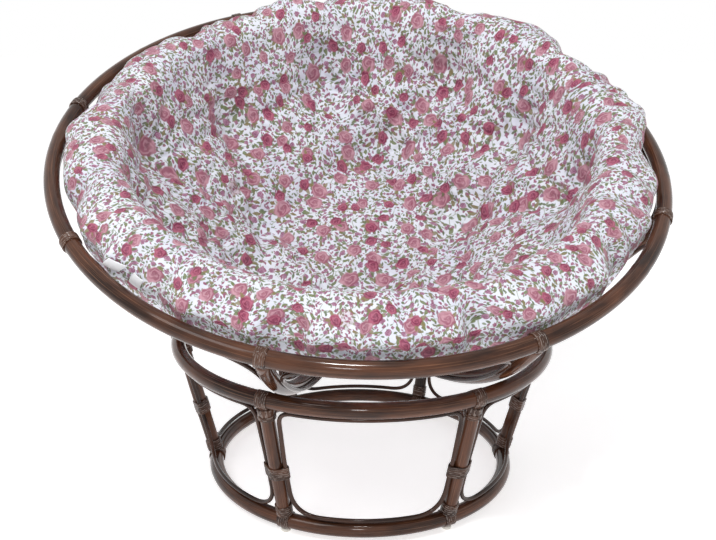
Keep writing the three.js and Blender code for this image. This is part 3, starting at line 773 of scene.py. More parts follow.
@dataclass(frozen=True)
class Seat:
    """Where the bowl sits: the middle of its sphere, its tilt, and the sphere that parts it from the base."""

    centre: tuple[float, float, float] = (0.0, -0.0881848, 0.7642594)
    tilt: float = math.radians(24.8)
    radius: float = 0.589

    def place(self, points: Array) -> Array:
        """Points of the bowl's own frame, turned about X by the tilt and moved to the sphere's middle."""
        c, s = math.cos(self.tilt), math.sin(self.tilt)
        turn = np.array([[1.0, 0.0, 0.0], [0.0, c, -s], [0.0, s, c]])
        return points @ turn.T + np.array(self.centre)

    def direct(self, vectors: Array) -> Array:
        """Directions of the bowl's own frame, turned by the tilt."""
        return self.place(vectors) - np.array(self.centre)

    def keep_out(self, skin: Skin, margin: float) -> Skin:
        """Skin with every point closer to the middle than the sphere plus a margin moved out to it."""
        return self.limit(skin, self.radius + margin, True)

    def keep_in(self, skin: Skin, margin: float) -> Skin:
        """Skin with every point further than the sphere less a margin moved in to it."""
        return self.limit(skin, self.radius - margin, False)

    def limit(self, skin: Skin, reach: float, outside: bool) -> Skin:
        """Moves points along their ray from the middle until they are outside, or inside, the reach."""
        ray = skin.points - np.array(self.centre)
        far = np.linalg.norm(ray, axis=-1, keepdims=True)
        wanted = np.maximum(far, reach) if outside else np.minimum(far, reach)
        return Skin(ray / far * wanted + np.array(self.centre), skin.chart, skin.ring_rows)


class Seed(IntEnum):
    """First random seed of each kind of piece, to which the piece's number is added."""

    TOP_RING = 3
    LOWER_RING = 5
    RIM = 11
    BOTTOM_RING = 13
    POST = 20
    FOOT_RING = 40
    FOOT_POST = 50
    BASE_ROD = 60
    SADDLE = 70
    TOP_BAND = 80
    THROAT = 90
    POST_BAND = 100
    RIB = 120
    RIM_WINDING = 140
    BOWL_ROD = 160


@dataclass(frozen=True)
class Finishes:
    """Materials of the frame."""

    pole: bpy.types.Material
    rod: bpy.types.Material
    peel: bpy.types.Material
    glide: bpy.types.Material


@dataclass
class RattanWork:
    """What the base and the bowl share: the seat between them, their finishes and thin rods."""

    seat: Seat
    finishes: Finishes
    rod: float = 0.004
    gap: float = 0.0003
    body: ClassVar[str] = ""

    def add(self, name: str, skins: list[Skin], material: bpy.types.Material, slot: str, node: str) -> None:
        """Makes a piece of this body in place of a CAD node."""
        settle(make_piece(name, skins, material), self.body, slot, node)

    def add_rod(self, name: str, path: Array, facing: Array, seed: int, node: str) -> None:
        """Thin rod on a closed path, with finer sides, steps and growth rings than a pole."""
        fine = {"sides": 12, "step": 0.006, "ridge": 0.00012, "spacing": 0.19, "unevenness": 0.00015}
        pole = Pole(path, facing, self.rod - SHAVE, True, seed, **fine)
        self.add(name, [pole.skin()], self.finishes.rod, "rattan", node)


@dataclass
class RattanBase(RattanWork):
    """Low flared base: two rings, six posts, a bent rod in each bay, bindings and glides."""

    axis_y: float = -0.0881848
    top_radius: float = 0.3235
    top_height: float = 0.2555
    low_radius: float = 0.2635
    low_height: float = 0.0203
    ring_pole: float = 0.0136
    post_pole: float = 0.0125
    posts: int = 6
    first_post: float = math.radians(-31.5)
    band_height: float = 0.121
    low_corner: float = 0.046
    high_corner: float = 0.024
    foot_cut: float = 0.009
    head_cut: float = 0.008
    bow: float = 0.0006
    foot_band_height: float = 0.0235
    top_band_drop: float = 0.030
    body: ClassVar[str] = "base"

    def cone(self, azimuth: Array | float, height: Array | float) -> Array:
        """Point on the cone through both rings: radius grows evenly with height."""
        height = np.asarray(height, float)
        return outward(azimuth) * self.cone_radius(height)[..., None] + UP * height[..., None] + self.origin()

    def cone_radius(self, height: Array | float) -> Array:
        """Radius of the cone at a height."""
        slope = (self.top_radius - self.low_radius) / (self.top_height - self.low_height)
        return self.low_radius + slope * (np.asarray(height, float) - self.low_height)

    def origin(self) -> Array:
        """Point of the floor under the base's axis."""
        return np.array([0.0, self.axis_y, 0.0])

    def azimuth(self, number: int) -> float:
        """Azimuth of a post, numbered from 1."""
        return self.first_post + (number - 1) * TAU / self.posts

    def up_post(self, azimuth: float) -> Array:
        """Unit vector up along a post."""
        return unit(self.cone(azimuth, self.top_height) - self.cone(azimuth, self.low_height))

    def ring(self, name: str, radius: float, height: float, seed: int) -> None:
        """One ring of pole, its path a level circle that starts at the fourth post."""
        turn = round_angles(240) + self.azimuth(4)
        path = outward(turn) * radius + [0.0, 0.0, height] + self.origin()
        pole = Pole(path, outward(turn), self.ring_pole - SHAVE, True, seed, sides=22)
        skin = self.seat.keep_out(pole.skin(), MARGIN)
        self.add(f"{name}_pole", [skin], self.finishes.pole, "rattan", name)

    def post(self, number: int) -> None:
        """Post with the winding of its foot: peel round the lower ring and round the post above it."""
        azimuth = self.azimuth(number)
        foot, head = self.cone(azimuth, self.low_height), self.cone(azimuth, self.top_height)
        up, across, out = self.up_post(azimuth), along(azimuth), outward(azimuth)
        share = np.linspace(0.0, 1.0, 60)[:, None]
        start, end = foot + up * self.foot_cut, head - up * self.head_cut
        path = start + (end - start) * share + np.sin(share * np.pi) * self.bow * out
        facing = np.tile(across, (len(path), 1))
        pole = Pole(path, facing, self.post_pole, False, Seed.POST + number, spacing=0.17)
        round_ring = Winding(self.ring_pole - 0.0003, 5, 0.0040, 0.0018, Seed.FOOT_RING + number)
        round_post = Winding(self.post_pole - 0.0003, 5, 0.0040, 0.0021, Seed.FOOT_POST + number)
        skins = [
            pole.skin(),
            round_ring.skin(foot, across, out, self.low_radius),
            round_post.skin(foot + up * self.foot_band_height, up, unit(np.cross(across, up))),
        ]
        piece = make_piece(f"post_{number}", skins, self.finishes.pole)
        piece.data.materials.append(self.finishes.peel)
        wound = np.arange(len(piece.data.polygons)) >= len(skins[0].faces()[0])
        piece.data.polygons.foreach_set("material_index", wound.astype(np.int32))
        settle(piece, self.body, "rattan", f"base_post_{number}")

    def bay_rod(self, number: int) -> None:
        """Thin rod bent round the bay to the right of a post, lying on the cone."""
        half_angle = math.pi / self.posts
        stand = self.post_pole + self.rod + self.gap
        clear = self.ring_pole + self.rod + self.gap
        low, high = self.low_height + clear, self.top_height - clear
        straight = self.band_height + 0.022

        def half(up: Array | float) -> Array:
            """Half width of the bay at a height, measured along the cone."""
            spread = np.clip((np.asarray(up, float) - straight) / (high - straight), 0.0, None)
            return self.cone_radius(up) * half_angle - stand - 0.004 * spread

        across, up = Bay(low, high, self.low_corner, self.high_corner).outline(half)
        azimuth = self.azimuth(number) + half_angle + across / self.cone_radius(up)
        slant = math.atan2(self.top_radius - self.low_radius, self.top_height - self.low_height)
        facing = outward(azimuth) * math.cos(slant) - UP * math.sin(slant)
        self.add_rod(f"base_loop_{number}", self.cone(azimuth, up), facing, Seed.BASE_ROD + number,
                     f"base_bay_rod_{number}")

    def top_binding(self, number: int) -> None:
        """Peel over the top ring, run down beside the post and closed with a band round it."""
        azimuth = self.azimuth(number)
        head = self.cone(azimuth, self.top_height)
        up, across = self.up_post(azimuth), along(azimuth)
        face = unit(np.cross(across, up))
        saddle = Winding(self.ring_pole - 0.0002, 5, 0.0038, 0.0019, Seed.SADDLE + number)
        band = Winding(self.post_pole + 0.0002, 2, 0.0040, 0.0021, Seed.TOP_BAND + number)
        over_ring = saddle.skin(head, across, outward(azimuth), self.top_radius)
        skins = [
            self.seat.keep_out(over_ring, 0.0005),
            band.skin(head - up * self.top_band_drop, up, face),
            self.throat(head, up, face, Seed.THROAT + number),
        ]
        self.add(f"top_winding_{number}", skins, self.finishes.peel, "binding", f"base_top_binding_{number}")

    def throat(self, head: Array, up: Array, face: Array, seed: int) -> Skin:
        """Strands that run down along the post: radius waves eleven times round, 0.6 mm deep."""
        angle = round_angles(88)
        place = np.array([-0.028, -0.028, -0.022, -0.016, -0.0125, -0.0125])
        shown = np.array([0.0, 1.0, 1.0, 1.0, 1.0, 0.0])
        wave = 0.0006 * np.abs(np.cos(5.5 * angle + 0.4 * np.sin(3.0 * angle + seed)))
        radius = self.post_pole + (0.0006 + wave)[:, None] * shown - 0.0012 * (1.0 - shown)
        spoke = wheel(face, np.cross(up, face), angle)
        points = head + up * place[None, :, None] + spoke[:, None] * radius[..., None]
        run = np.append(place, place[0])[None, :]
        strand = np.arange(len(angle) + 1)[:, None] / 8.0 * STRAND
        return Skin(points, np.stack(np.broadcast_arrays(run, strand + seed), -1), ring_rows=True)

    def band(self, number: int) -> None:
        """Peel wound tight over the post and the rod on each side of it.

        For each direction the wall lies on the circle, post or rod, that reaches furthest that way.
        """
        azimuth = self.azimuth(number)
        centre = self.cone(azimuth, self.band_height)
        up, across = self.up_post(azimuth), along(azimuth)
        depth = np.cross(up, across)
        turn = (self.post_pole + self.rod + self.gap) / float(self.cone_radius(self.band_height))
        rods = [self.cone(azimuth + side * turn, self.band_height) - centre for side in (-1.0, 1.0)]
        rounds = np.array([[r @ across, r @ depth, self.rod] for r in rods] + [[0.0, 0.0, self.post_pole]])
        sides = 72
        angle = (np.arange(sides) + 0.5) / sides * TAU
        away = np.stack([np.cos(angle), np.sin(angle)], 1)
        far = (away @ rounds[:, :2].T + rounds[:, 2]).argmax(1)
        winding = Winding(0.0002, 6, 0.0036, 0.0017, Seed.POST_BAND + number, inner=0.0016)
        place, shown = winding.section()
        reach = winding.wall(winding.passed(place)[None, :] + (np.arange(sides) / sides)[:, None], shown)
        flat = rounds[far, :2][:, None] + away[:, None] * (rounds[far, 2][:, None] + reach)[..., None]
        points = centre + across * flat[..., :1] + depth * flat[..., 1:] + up * place[None, :, None]
        run = np.append(run_of(flat[:, 0]), 0.1)
        skin = Skin(points, winding.strand_chart(run, place), ring_rows=True)
        self.add(f"post_band_{number}", [skin], self.finishes.peel, "binding", f"base_mid_binding_{number}")

    def glide(self, number: int) -> None:
        """Round button under the ring: a disc with a rounded rim, its top hidden in the winding."""
        centre = self.origin() + outward(self.azimuth(number)) * self.low_radius
        angle = round_angles(32)
        rim = np.linspace(0.0, np.pi / 2.0, 6)
        radius = np.concatenate([[0.0, 0.004], 0.0066 + 0.0013 * np.sin(rim), [0.0079, 0.0079, 0.0]])
        height = np.concatenate([[0.0, 0.0], 0.0013 * (1.0 - np.cos(rim)), [0.004, 0.0062, 0.0062]])
        spoke = np.stack([np.cos(angle), np.sin(angle), np.zeros_like(angle)], 1)
        points = centre + spoke[None] * radius[:, None, None] + UP * height[:, None, None]
        chart = np.stack(np.meshgrid(height, np.arange(len(angle) + 1) * 0.0015, indexing="ij"), -1)
        self.add(f"floor_glide_{number}", [Skin(points, chart)], self.finishes.glide, "glide",
                 f"foot_glide_{number}")

    def build(self) -> None:
        """Makes every piece of the base."""
        self.ring("base_top_ring", self.top_radius, self.top_height, Seed.TOP_RING)
        self.ring("base_lower_ring", self.low_radius, self.low_height, Seed.LOWER_RING)
        for number in range(1, self.posts + 1):
            for piece in (self.post, self.bay_rod, self.top_binding, self.band, self.glide):
                piece(number)


@dataclass
class RattanBowl(RattanWork):
    """Round bowl: a thick rim, a small bottom ring, curved ribs and a bent rod in each bay."""

    rim_radius: float = 0.5325
    rim_pole: float = 0.0143
    bottom_radius: float = 0.2
    bottom_pole: float = 0.012
    rib_pole: float = 0.0135
    peel: float = 0.0022
    low_corner: float = 0.036
    high_corner: float = 0.078
    ease: float = 0.0009
    ribs: tuple[float, ...] = (-18.5, 25.0, 68.0, 113.0, 159.0, 206.0, 255.0, 298.5)
    body: ClassVar[str] = "bowl"

    def __post_init__(self) -> None:
        """Works out the spheres and heights that the poles' centres follow."""
        self.rim_reach = self.seat.radius - self.rim_pole - self.peel
        self.rim_height = -math.sqrt(self.rim_reach ** 2 - self.rim_radius ** 2)
        self.bottom_reach = self.seat.radius - self.bottom_pole
        self.bottom_height = -math.sqrt(self.bottom_reach ** 2 - self.bottom_radius ** 2)
        self.rib_reach = self.seat.radius - self.rib_pole
        self.rim_polar = math.asin(self.rim_radius / self.rim_reach)
        self.bottom_polar = math.asin(self.bottom_radius / self.bottom_reach)

    def on_ribs(self, polar: Array, azimuth: Array | float) -> Array:
        """Point on the sphere of the ribs' centres, its polar angle counted from straight down."""
        down = np.stack([np.zeros_like(polar), np.zeros_like(polar), -np.cos(polar)], -1)
        return self.rib_reach * (outward(azimuth) * np.sin(polar)[..., None] + down)

    def azimuth(self, number: int) -> float:
        """Azimuth of a rib, numbered from 1; the number after the last is the first again."""
        return math.radians(self.ribs[(number - 1) % len(self.ribs)])

    def ring(self, name: str, radius: float, height: float, pole: float, seed: int) -> None:
        """One ring of pole, its path a circle square to the bowl's axis that starts at the fifth rib."""
        turn = round_angles(300) + self.azimuth(5)
        path = self.seat.place(outward(turn) * radius + [0.0, 0.0, height])
        body = Pole(path, self.seat.direct(outward(turn)), pole - SHAVE, True, seed, sides=24, spacing=0.31)
        skin = self.seat.keep_in(body.skin(), MARGIN)
        self.add(f"{name}_pole", [skin], self.finishes.pole, "rattan", name)

    def rib(self, number: int) -> None:
        """Rib from the bottom ring to the rim, its path a great circle; both ends are cut to the rings."""
        azimuth = self.azimuth(number)
        last = self.rim_polar - 0.4 * self.rim_pole / self.rib_reach
        path = self.seat.place(self.on_ribs(np.linspace(self.bottom_polar, last, 90), azimuth))
        facing = np.tile(self.seat.direct(along(azimuth)), (len(path), 1))
        pole = Pole(path, facing, self.rib_pole - SHAVE, False, Seed.RIB + number, rounding=0.7)
        skin = self.seat.keep_in(pole.skin(), MARGIN)
        self.add(f"rib_{number}", [skin], self.finishes.pole, "rattan", f"bowl_rib_{number}")

    def rim_binding(self, number: int) -> None:
        """Five turns of peel round the rim over the end of a rib."""
        azimuth = self.azimuth(number)
        centre = self.seat.place(outward(azimuth) * self.rim_radius + [0.0, 0.0, self.rim_height])
        winding = Winding(self.rim_pole - 0.0002, 5, 0.0034, self.peel - 0.0002, Seed.RIM_WINDING + number)
        axis, out = self.seat.direct(along(azimuth)), self.seat.direct(outward(azimuth))
        skin = self.seat.keep_in(winding.skin(centre, axis, out, self.rim_radius), MARGIN)
        self.add(f"rim_winding_{number}", [skin], self.finishes.peel, "binding", f"rim_binding_{number}")

    def bay_rod(self, number: int) -> None:
        """Thin rod bent round the bay after a rib, lying on the ribs' sphere."""
        here, after = self.azimuth(number), self.azimuth(number + 1)
        after += TAU if after < here else 0.0
        middle, half_angle = (here + after) / 2.0, (after - here) / 2.0
        clear = self.rod + self.gap
        low = self.rib_reach * self.bottom_polar + self.bottom_pole + clear + self.ease
        high = self.rib_reach * self.rim_polar - self.rim_pole - clear - self.ease

        def half(up: Array | float) -> Array:
            """Half width of the bay at a distance from the bottom, measured on the sphere."""
            polar = np.asarray(up, float) / self.rib_reach
            return self.rib_reach * np.sin(polar) * half_angle - self.rib_pole - clear

        across, up = Bay(low, high, self.low_corner, self.high_corner).outline(half)
        polar = up / self.rib_reach
        local = self.on_ribs(polar, middle + across / (self.rib_reach * np.sin(polar)))
        self.add_rod(f"bowl_loop_{number}", self.seat.place(local), self.seat.direct(unit(local)),
                     Seed.BOWL_ROD + number, f"bowl_bay_rod_{number}")

    def build(self) -> None:
        """Makes every piece of the bowl."""
        self.ring("bowl_rim", self.rim_radius, self.rim_height, self.rim_pole, Seed.RIM)
        low = (self.bottom_radius, self.bottom_height, self.bottom_pole)
        self.ring("bowl_bottom_ring", *low, Seed.BOTTOM_RING)
        for number in range(1, len(self.ribs) + 1):
            for piece in (self.rib, self.rim_binding, self.bay_rod):
                piece(number)


def vertex_values(piece: bpy.types.Object, what: str) -> Array:
    """Three numbers of every vertex of a mesh object, "co" or "normal", as Blender holds them."""
    values = np.empty(len(piece.data.vertices) * 3, np.float32)
    piece.data.vertices.foreach_get(what, values)
    return values.reshape(-1, 3)


def read_places(piece: bpy.types.Object) -> Array:
    """Vertex places of a mesh object."""
    return vertex_values(piece, "co").astype(float)


def write_places(piece: bpy.types.Object, places: Array) -> None:
    """Sets the vertex places of a mesh object."""
    piece.data.vertices.foreach_set("co", places.astype(np.float32).ravel())
    piece.data.update()


@dataclass
class TuftedCushion:
    """Thick round cushion: a quilted dish inside a fat soft edge, filled by a cloth pass."""

    seat: Seat
    finish: bpy.types.Material
    thread: bpy.types.Material
    rows: int = 151
    over: float = 0.453
    under: float = 0.5605
    rim_radius: float = 0.5325
    rim_height: float = -0.21024
    rim_room: float = 0.0205
    edge_middle: tuple[float, float] = (0.4562, -0.19824)
    edge_half: tuple[float, float] = (0.0515, 0.056)
    top_polar: float = math.radians(61.0)
    low_polar: float = math.radians(59.0)
    lift: float = 0.022
    lift_polar: float = math.radians(46.0)
    lift_spread: float = 0.22
    tufts: tuple[tuple[float, float, float], ...] = (
        (13.2, 5.6, 0.8), (23.7, -116.5, 1.0), (25.6, -68.0, 0.8), (29.9, 38.0, 0.9), (27.4, 107.0, 1.0),
        (34.0, 166.0, 0.9), (30.0, -20.0, 0.6), (46.5, -137.0, 1.0), (51.1, -172.0, 1.0), (54.5, -101.0, 1.0),
        (55.0, 150.0, 1.0), (50.5, 120.0, 1.0), (53.5, 86.0, 1.0), (52.5, 50.0, 0.9), (52.0, 17.0, 0.9),
        (52.0, -15.0, 0.9), (52.0, -43.0, 0.9), (53.0, -72.0, 0.9),
    )
    outer_polar: float = 45.0
    neighbours: float = 0.63
    tuft_depth: float = 0.034
    tuft_spread: float = 0.050
    crease_depth: float = 0.014
    crease_floor: float = 0.010
    crease_fall: float = 0.024
    ring_share: float = 0.4
    front_drop: float = 0.012
    overhang: float = 0.03
    edge_moves: tuple[tuple[float, float, float, float], ...] = (
        (75.0, 205.0, 0.017, 0.012), (192.0, 268.0, -0.010, -0.012),
    )
    soft_end: float = 0.35
    puff: float = 0.006
    small_start: float = 0.008
    most_filling: float = 0.012
    frames: int = 20
    pleat: float = 0.0078
    pit: float = 0.009
    gather: float = 0.0052
    groove: float = 0.0055
    edge_pleat: float = 0.0082
    edge_swell: float = 0.0045
    cover: float = 0.0012
    notches: tuple[float, float, float] = (0.019, 0.013, 0.009)
    notch_width: float = 0.034
    gather_step: float = 0.034
    free_hold: float = 0.12

    def half_section(self) -> tuple[Array, Array, float]:
        """Half section at even steps: top sphere, edge roll, underside sphere, softened by a sliding mean.

        Returns:
            Points as level distance and height, their places along the section, and the seam's share of it.
        """
        top, low = np.linspace(0.0, self.top_polar, 60), np.linspace(self.low_polar, 0.0, 60)
        turn = np.radians(np.linspace(172.0, -32.0, 60))
        middle, half = np.array(self.edge_middle), np.array(self.edge_half)
        given = np.concatenate([
            np.stack([np.sin(top), -np.cos(top)], 1) * self.over,
            middle + half * np.stack([np.cos(turn), np.sin(turn)], 1),
            np.stack([np.sin(low), -np.cos(low)], 1) * self.under,
        ])
        run = run_of(given)
        place = np.linspace(0.0, run[-1], 900)
        raw = sample(place, run, given)
        pad = 26
        mirror = np.array([-1.0, 1.0])
        long = np.concatenate([raw[pad:0:-1] * mirror, raw, raw[-2:-pad - 2:-1] * mirror])
        window = np.hanning(2 * pad + 1)
        soft = np.stack([np.convolve(long[:, k], window / window.sum(), "valid") for k in range(2)], 1)
        return soft, place, run[60 + int(165.0 / 204.0 * 60)] / run[-1]

    def disc(self) -> tuple[Array, Array, Array]:
        """Even grid on a disc: a square's shells become rings (the concentric map).

        Returns:
            Share of the radius, azimuth, and a mask of the outer edge, each rows by rows.
        """
        side = np.linspace(-1.0, 1.0, self.rows)
        a, b = np.meshgrid(side, side, indexing="ij")
        radius = np.maximum(np.abs(a), np.abs(b))
        wide = np.abs(a) > np.abs(b)
        safe_a, safe_b = np.where(a == 0.0, 1.0, a), np.where(b == 0.0, 1.0, b)
        angle = np.where(wide, np.pi / 4.0 * b / safe_a, np.pi / 2.0 - np.pi / 4.0 * a / safe_b)
        angle = angle + np.where(np.where(wide, a, b) < 0.0, np.pi, 0.0)
        return radius, angle, radius > 1.0 - 1e-9

    def on_section(self, share: Array, azimuth: Array) -> tuple[Array, Array]:
        """Points of the smooth cushion and the directions into its filling, in the bowl's frame."""
        soft, place, _ = self.half_section()
        where = share * place[-1]
        level, rise = np.moveaxis(sample(where, place, soft), -1, 0)
        out, up = np.moveaxis(sample(where, place, np.gradient(soft, place, axis=0)), -1, 0)
        points = outward(azimuth) * level[..., None] + UP * rise[..., None]
        return points, unit(outward(azimuth) * up[..., None] - UP * out[..., None])

    def tuft_points(self) -> Array:
        """Places of the tufts on the smooth top, found where the section has the tuft's polar angle."""
        soft, place, _ = self.half_section()
        polar = np.arctan2(soft[:, 0], -soft[:, 1])
        upto = int(np.argmax(soft[:, 0]) * 0.8)
        given = np.array(self.tufts)
        share = np.interp(np.radians(given[:, 0]), polar[:upto], place[:upto]) / place[-1]
        return self.on_section(share, np.radians(given[:, 1]))[0]

    def creases(self, spots: Array) -> tuple[Array, Array, Array]:
        """Start, end and share of the depth of every crease between neighbouring tufts and over the edge."""
        given = np.array(self.tufts)
        gap = np.linalg.norm(spots[:, None] - spots[None, :], axis=-1)
        first, second = np.nonzero(np.triu(gap < self.neighbours * self.over, 1))
        outer = given[:, 0] > self.outer_polar
        turn = np.radians(given[outer, 1])
        edge, _ = self.on_section(np.full(turn.shape, self.half_section()[2] * 0.97), turn)
        share = np.where(outer[first] & outer[second], self.ring_share, 1.0)
        start, end = np.concatenate([spots[first], spots[outer]]), np.concatenate([spots[second], edge])
        return start, end, np.concatenate([share, np.ones(len(edge))])

    def dip(self, points: Array) -> Array:
        """How far the quilting draws the top in: round dimples at the tufts and creases between them.

        A dimple is depth * exp(-(d / spread)^2), a crease is depth * exp(-d / fall), and the crown of
        each pillow stands a little higher.
        """
        spots = self.tuft_points()
        weight = np.array(self.tufts)[:, 2]
        offset = points[..., None, :] - spots
        far = np.linalg.norm(offset, axis=-1)
        dimple = (self.tuft_depth * weight * np.exp(-((far / self.tuft_spread) ** 2))).max(-1)
        start, end, depth = self.creases(spots)
        line = end - start
        share = np.einsum("...ki,ki->...k", points[..., None, :] - start, line) / (line ** 2).sum(-1)
        near = start + line * np.clip(share, 0.0, 1.0)[..., None]
        off = np.linalg.norm(points[..., None, :] - near, axis=-1) - self.crease_floor
        off = np.clip(off, 0.0, None)
        crease = self.crease_depth * (depth * np.exp(-off / self.crease_fall)).max(-1)
        crown = self.puff * (1.0 - np.exp(-((off.min(-1) / 0.045) ** 2)))
        return dimple + crease - crown * (1.0 - np.exp(-((far.min(-1) / 0.07) ** 4)))

    @staticmethod
    def fold(turn: Array) -> Array:
        """Narrow valleys between round swells, 0 to 1: 1 - |sin(turn / 2)|^0.7."""
        return 1.0 - np.abs(np.sin(turn / 2.0)) ** 0.7

    def tuft_folds(self, points: Array) -> Array:
        """Pleats that run out from each tuft, and the pit at its bottom."""
        spots, inward = self.tuft_frames()
        total = np.zeros(len(points))
        for number, (spot, into, strength) in enumerate(zip(spots, inward, np.array(self.tufts)[:, 2])):
            offset = points - spot
            far = np.linalg.norm(offset, axis=-1)
            side = unit(np.cross(into, [0.3, 1.0, 0.2]))
            angle = np.arctan2(offset @ np.cross(into, side), offset @ side)
            turn = (9.0 + number % 3) * angle + 2.4 * np.sin(2.0 * angle + number)
            turn = turn + 0.9 * np.sin(far * 55.0 + number)
            share = far / (0.050 + 0.012 * np.sin(3.0 * angle + number))
            total += self.pleat * strength * self.fold(turn) * share * np.exp(1.0 - share)
            total += self.pit * strength * np.exp(-((far / 0.017) ** 2))
        return total

    def crease_folds(self, points: Array) -> Array:
        """Gathers across the flanks of each crease, and the groove along it."""
        start, end, depth = self.creases(self.tuft_frames()[0])
        total = np.zeros(len(points))
        for number, (first, line) in enumerate(zip(start, end - start)):
            length = np.linalg.norm(line)
            share = (points - first) @ line / length ** 2
            off = np.linalg.norm(points - first - np.clip(share, 0.0, 1.0)[:, None] * line, axis=-1)
            inside = smooth_step(share, 0.0, 0.18) * (1.0 - smooth_step(share, 0.82, 1.0))
            turn = share * length * TAU / self.gather_step + 2.0 * np.sin(share * 8.0 + number) + off * 30.0
            beside = np.clip(off - 0.004, 0.0, None) / 0.022
            total += self.gather * depth[number] * self.fold(turn) * inside * beside * np.exp(1.0 - beside)
            total += self.groove * depth[number] * inside * np.exp(-((off / 0.0075) ** 2))
        return total

    def edge_folds(self, points: Array) -> Array:
        """Narrow and wide folds that run over the edge roll."""
        azimuth = np.arctan2(points[:, 0], -points[:, 1])
        level = np.hypot(points[:, 0], points[:, 1])
        turn = 46.0 * azimuth + 2.6 * np.sin(3.0 * azimuth + 1.0) + 1.9 * np.sin(7.0 * azimuth)
        narrow = self.fold(turn + (level - 0.45) * 14.0) * smooth_step(level, 0.405, 0.452)
        strength = 0.55 + 0.45 * np.sin(5.0 * azimuth + 2.0 * np.sin(2.0 * azimuth))
        wide = self.fold(19.0 * azimuth + 1.5 * np.sin(4.0 * azimuth)) * smooth_step(level, 0.39, 0.47)
        return (self.edge_pleat * strength * narrow + self.edge_swell * wide) * (points[:, 2] > -0.33)

    def wrinkles(self, points: Array) -> Array:
        """Depth of the small folds of the cover at points of the bowl's frame.

        Each kind is a row of narrow valleys, strongest at its own distance and fading from there.
        The underside has none.
        """
        top = 1.0 - smooth_step(np.linalg.norm(points, axis=-1), 0.515, 0.545)
        return (self.tuft_folds(points) + self.crease_folds(points) + self.edge_folds(points)) * top

    def edge_fold(self, azimuth: Array, closeness: Array) -> Array:
        """Gathers round the edge: uneven folds and deeper notches where the outer creases meet it."""
        turn = 34.0 * azimuth + 2.2 * np.sin(3.0 * azimuth + 1.0) + 1.6 * np.sin(7.0 * azimuth)
        folds = 0.0032 * (np.sin(turn) + 0.5 * np.sin(2.0 * turn + 1.0))
        given = np.array(self.tufts)
        outer = np.radians(given[given[:, 0] > self.outer_polar, 1])
        apart = np.abs((azimuth[..., None] - outer + np.pi) % TAU - np.pi) * 0.5
        back, left = np.cos(outer) < 0.2, np.sin(outer) < 0.0
        back_left, back_right, front = self.notches
        notch = np.where(back, np.where(left, back_left, back_right), front)
        return (folds + (notch * np.exp(-((apart / self.notch_width) ** 2))).sum(-1)) * closeness

    def between(self, azimuth: Array, first: float, last: float) -> Array:
        """1 between two azimuths in degrees, 0 outside them, with soft ends inside the range."""
        turn, first, last = azimuth % TAU, math.radians(first), math.radians(last)
        rise = smooth_step(turn, first, first + self.soft_end)
        return rise * (1.0 - smooth_step(turn, last - self.soft_end, last))

    def covers(self, radius: Array, azimuth: Array, seam: float) -> tuple[Array, Array]:
        """Points of the top and of the underside on the disc's grid, before they are sewn together.

        Args:
            radius: share of the disc's radius.
            azimuth: azimuth on the disc.
            seam: place of the seam as a share of the half section.
        """
        top, top_in = self.on_section(radius * seam, azimuth)
        low, low_in = self.on_section(1.0 - radius * (1.0 - seam), azimuth)
        out = outward(azimuth)
        crest = np.clip((top[..., 2] - self.edge_middle[1]) / self.edge_half[1], 0.0, 1.0)
        roll = smooth_step(radius, 0.62, 0.9)
        top = top + top_in * (self.dip(top) * (1.0 - 0.4 * roll))[..., None]
        top = top - out * self.edge_fold(azimuth, smooth_step(radius, 0.66, 1.0))[..., None]
        front = np.clip(np.cos(azimuth), 0.0, None) ** 2
        top = top - UP * (self.front_drop * crest * front)[..., None]
        low = low - out * self.edge_fold(azimuth, smooth_step(radius, 0.8, 1.0))[..., None]
        for first, last, away, rise in self.edge_moves:
            swell = self.between(azimuth, first, last) * smooth_step(radius, 0.6, 0.95)
            swell = swell * (0.8 + 0.2 * np.sin(9.0 * azimuth))
            top = top + out * (away * swell)[..., None] + UP * (rise * swell)[..., None]
            low = low + UP * (0.5 * rise * swell * smooth_step(radius, 0.93, 1.0))[..., None]
        spot = self.under * (outward(0.0) * math.sin(self.lift_polar) - UP * math.cos(self.lift_polar))
        lift = self.lift * np.exp(-((np.linalg.norm(low - spot, axis=-1) / self.lift_spread) ** 2))
        return top, low + low_in * (lift * (1.0 - smooth_step(radius, 0.75, 0.95)))[..., None]

    def shape(self) -> tuple[Array, Array, Array, Array]:
        """Both covers as one list of points: the top disc, then the inside of the under disc.

        Returns:
            Points in the bowl's frame, chart, quads, and how firmly each point is held.
        """
        radius, azimuth, rim = self.disc()
        azimuth = azimuth + np.pi / 4.0
        _, place, seam = self.half_section()
        top, low = self.covers(radius, azimuth, seam)
        top[rim] = (top[rim] + low[rim]) / 2.0
        charts = [
            np.stack([metres * np.sin(azimuth), -metres * np.cos(azimuth)], -1) + shift
            for metres, shift in ((radius * seam * place[-1], 3.0), (radius * (1.0 - seam) * place[-1], 9.0))
        ]
        firm = np.exp(-((self.nearest_tuft(top) / 0.012) ** 2))
        count = self.rows * self.rows
        number = np.arange(count).reshape(self.rows, self.rows)
        below = np.where(rim, number, count + number)
        quads = np.concatenate([self.disc_quads(number), self.disc_quads(below)[:, ::-1]])
        corners = np.concatenate([self.disc_quads(number), self.disc_quads(number + count)[:, ::-1]])
        points = np.concatenate([top.reshape(-1, 3), low.reshape(-1, 3)])
        chart = np.concatenate([c.reshape(-1, 2) for c in charts])[corners]
        return points, chart, quads, np.concatenate([firm.ravel(), np.full(count, self.free_hold)])

    def tuft_frames(self) -> tuple[Array, Array]:
        """Tufts on the smooth top and the directions into the filling there, away from the middle."""
        spots = self.tuft_points()
        return spots, unit(spots)

    def tuft_bottoms(self) -> Array:
        """Bottom of each tuft's dimple, in the bowl's frame."""
        spots, inward = self.tuft_frames()
        return spots + inward * (self.tuft_depth * np.array(self.tufts)[:, 2:])

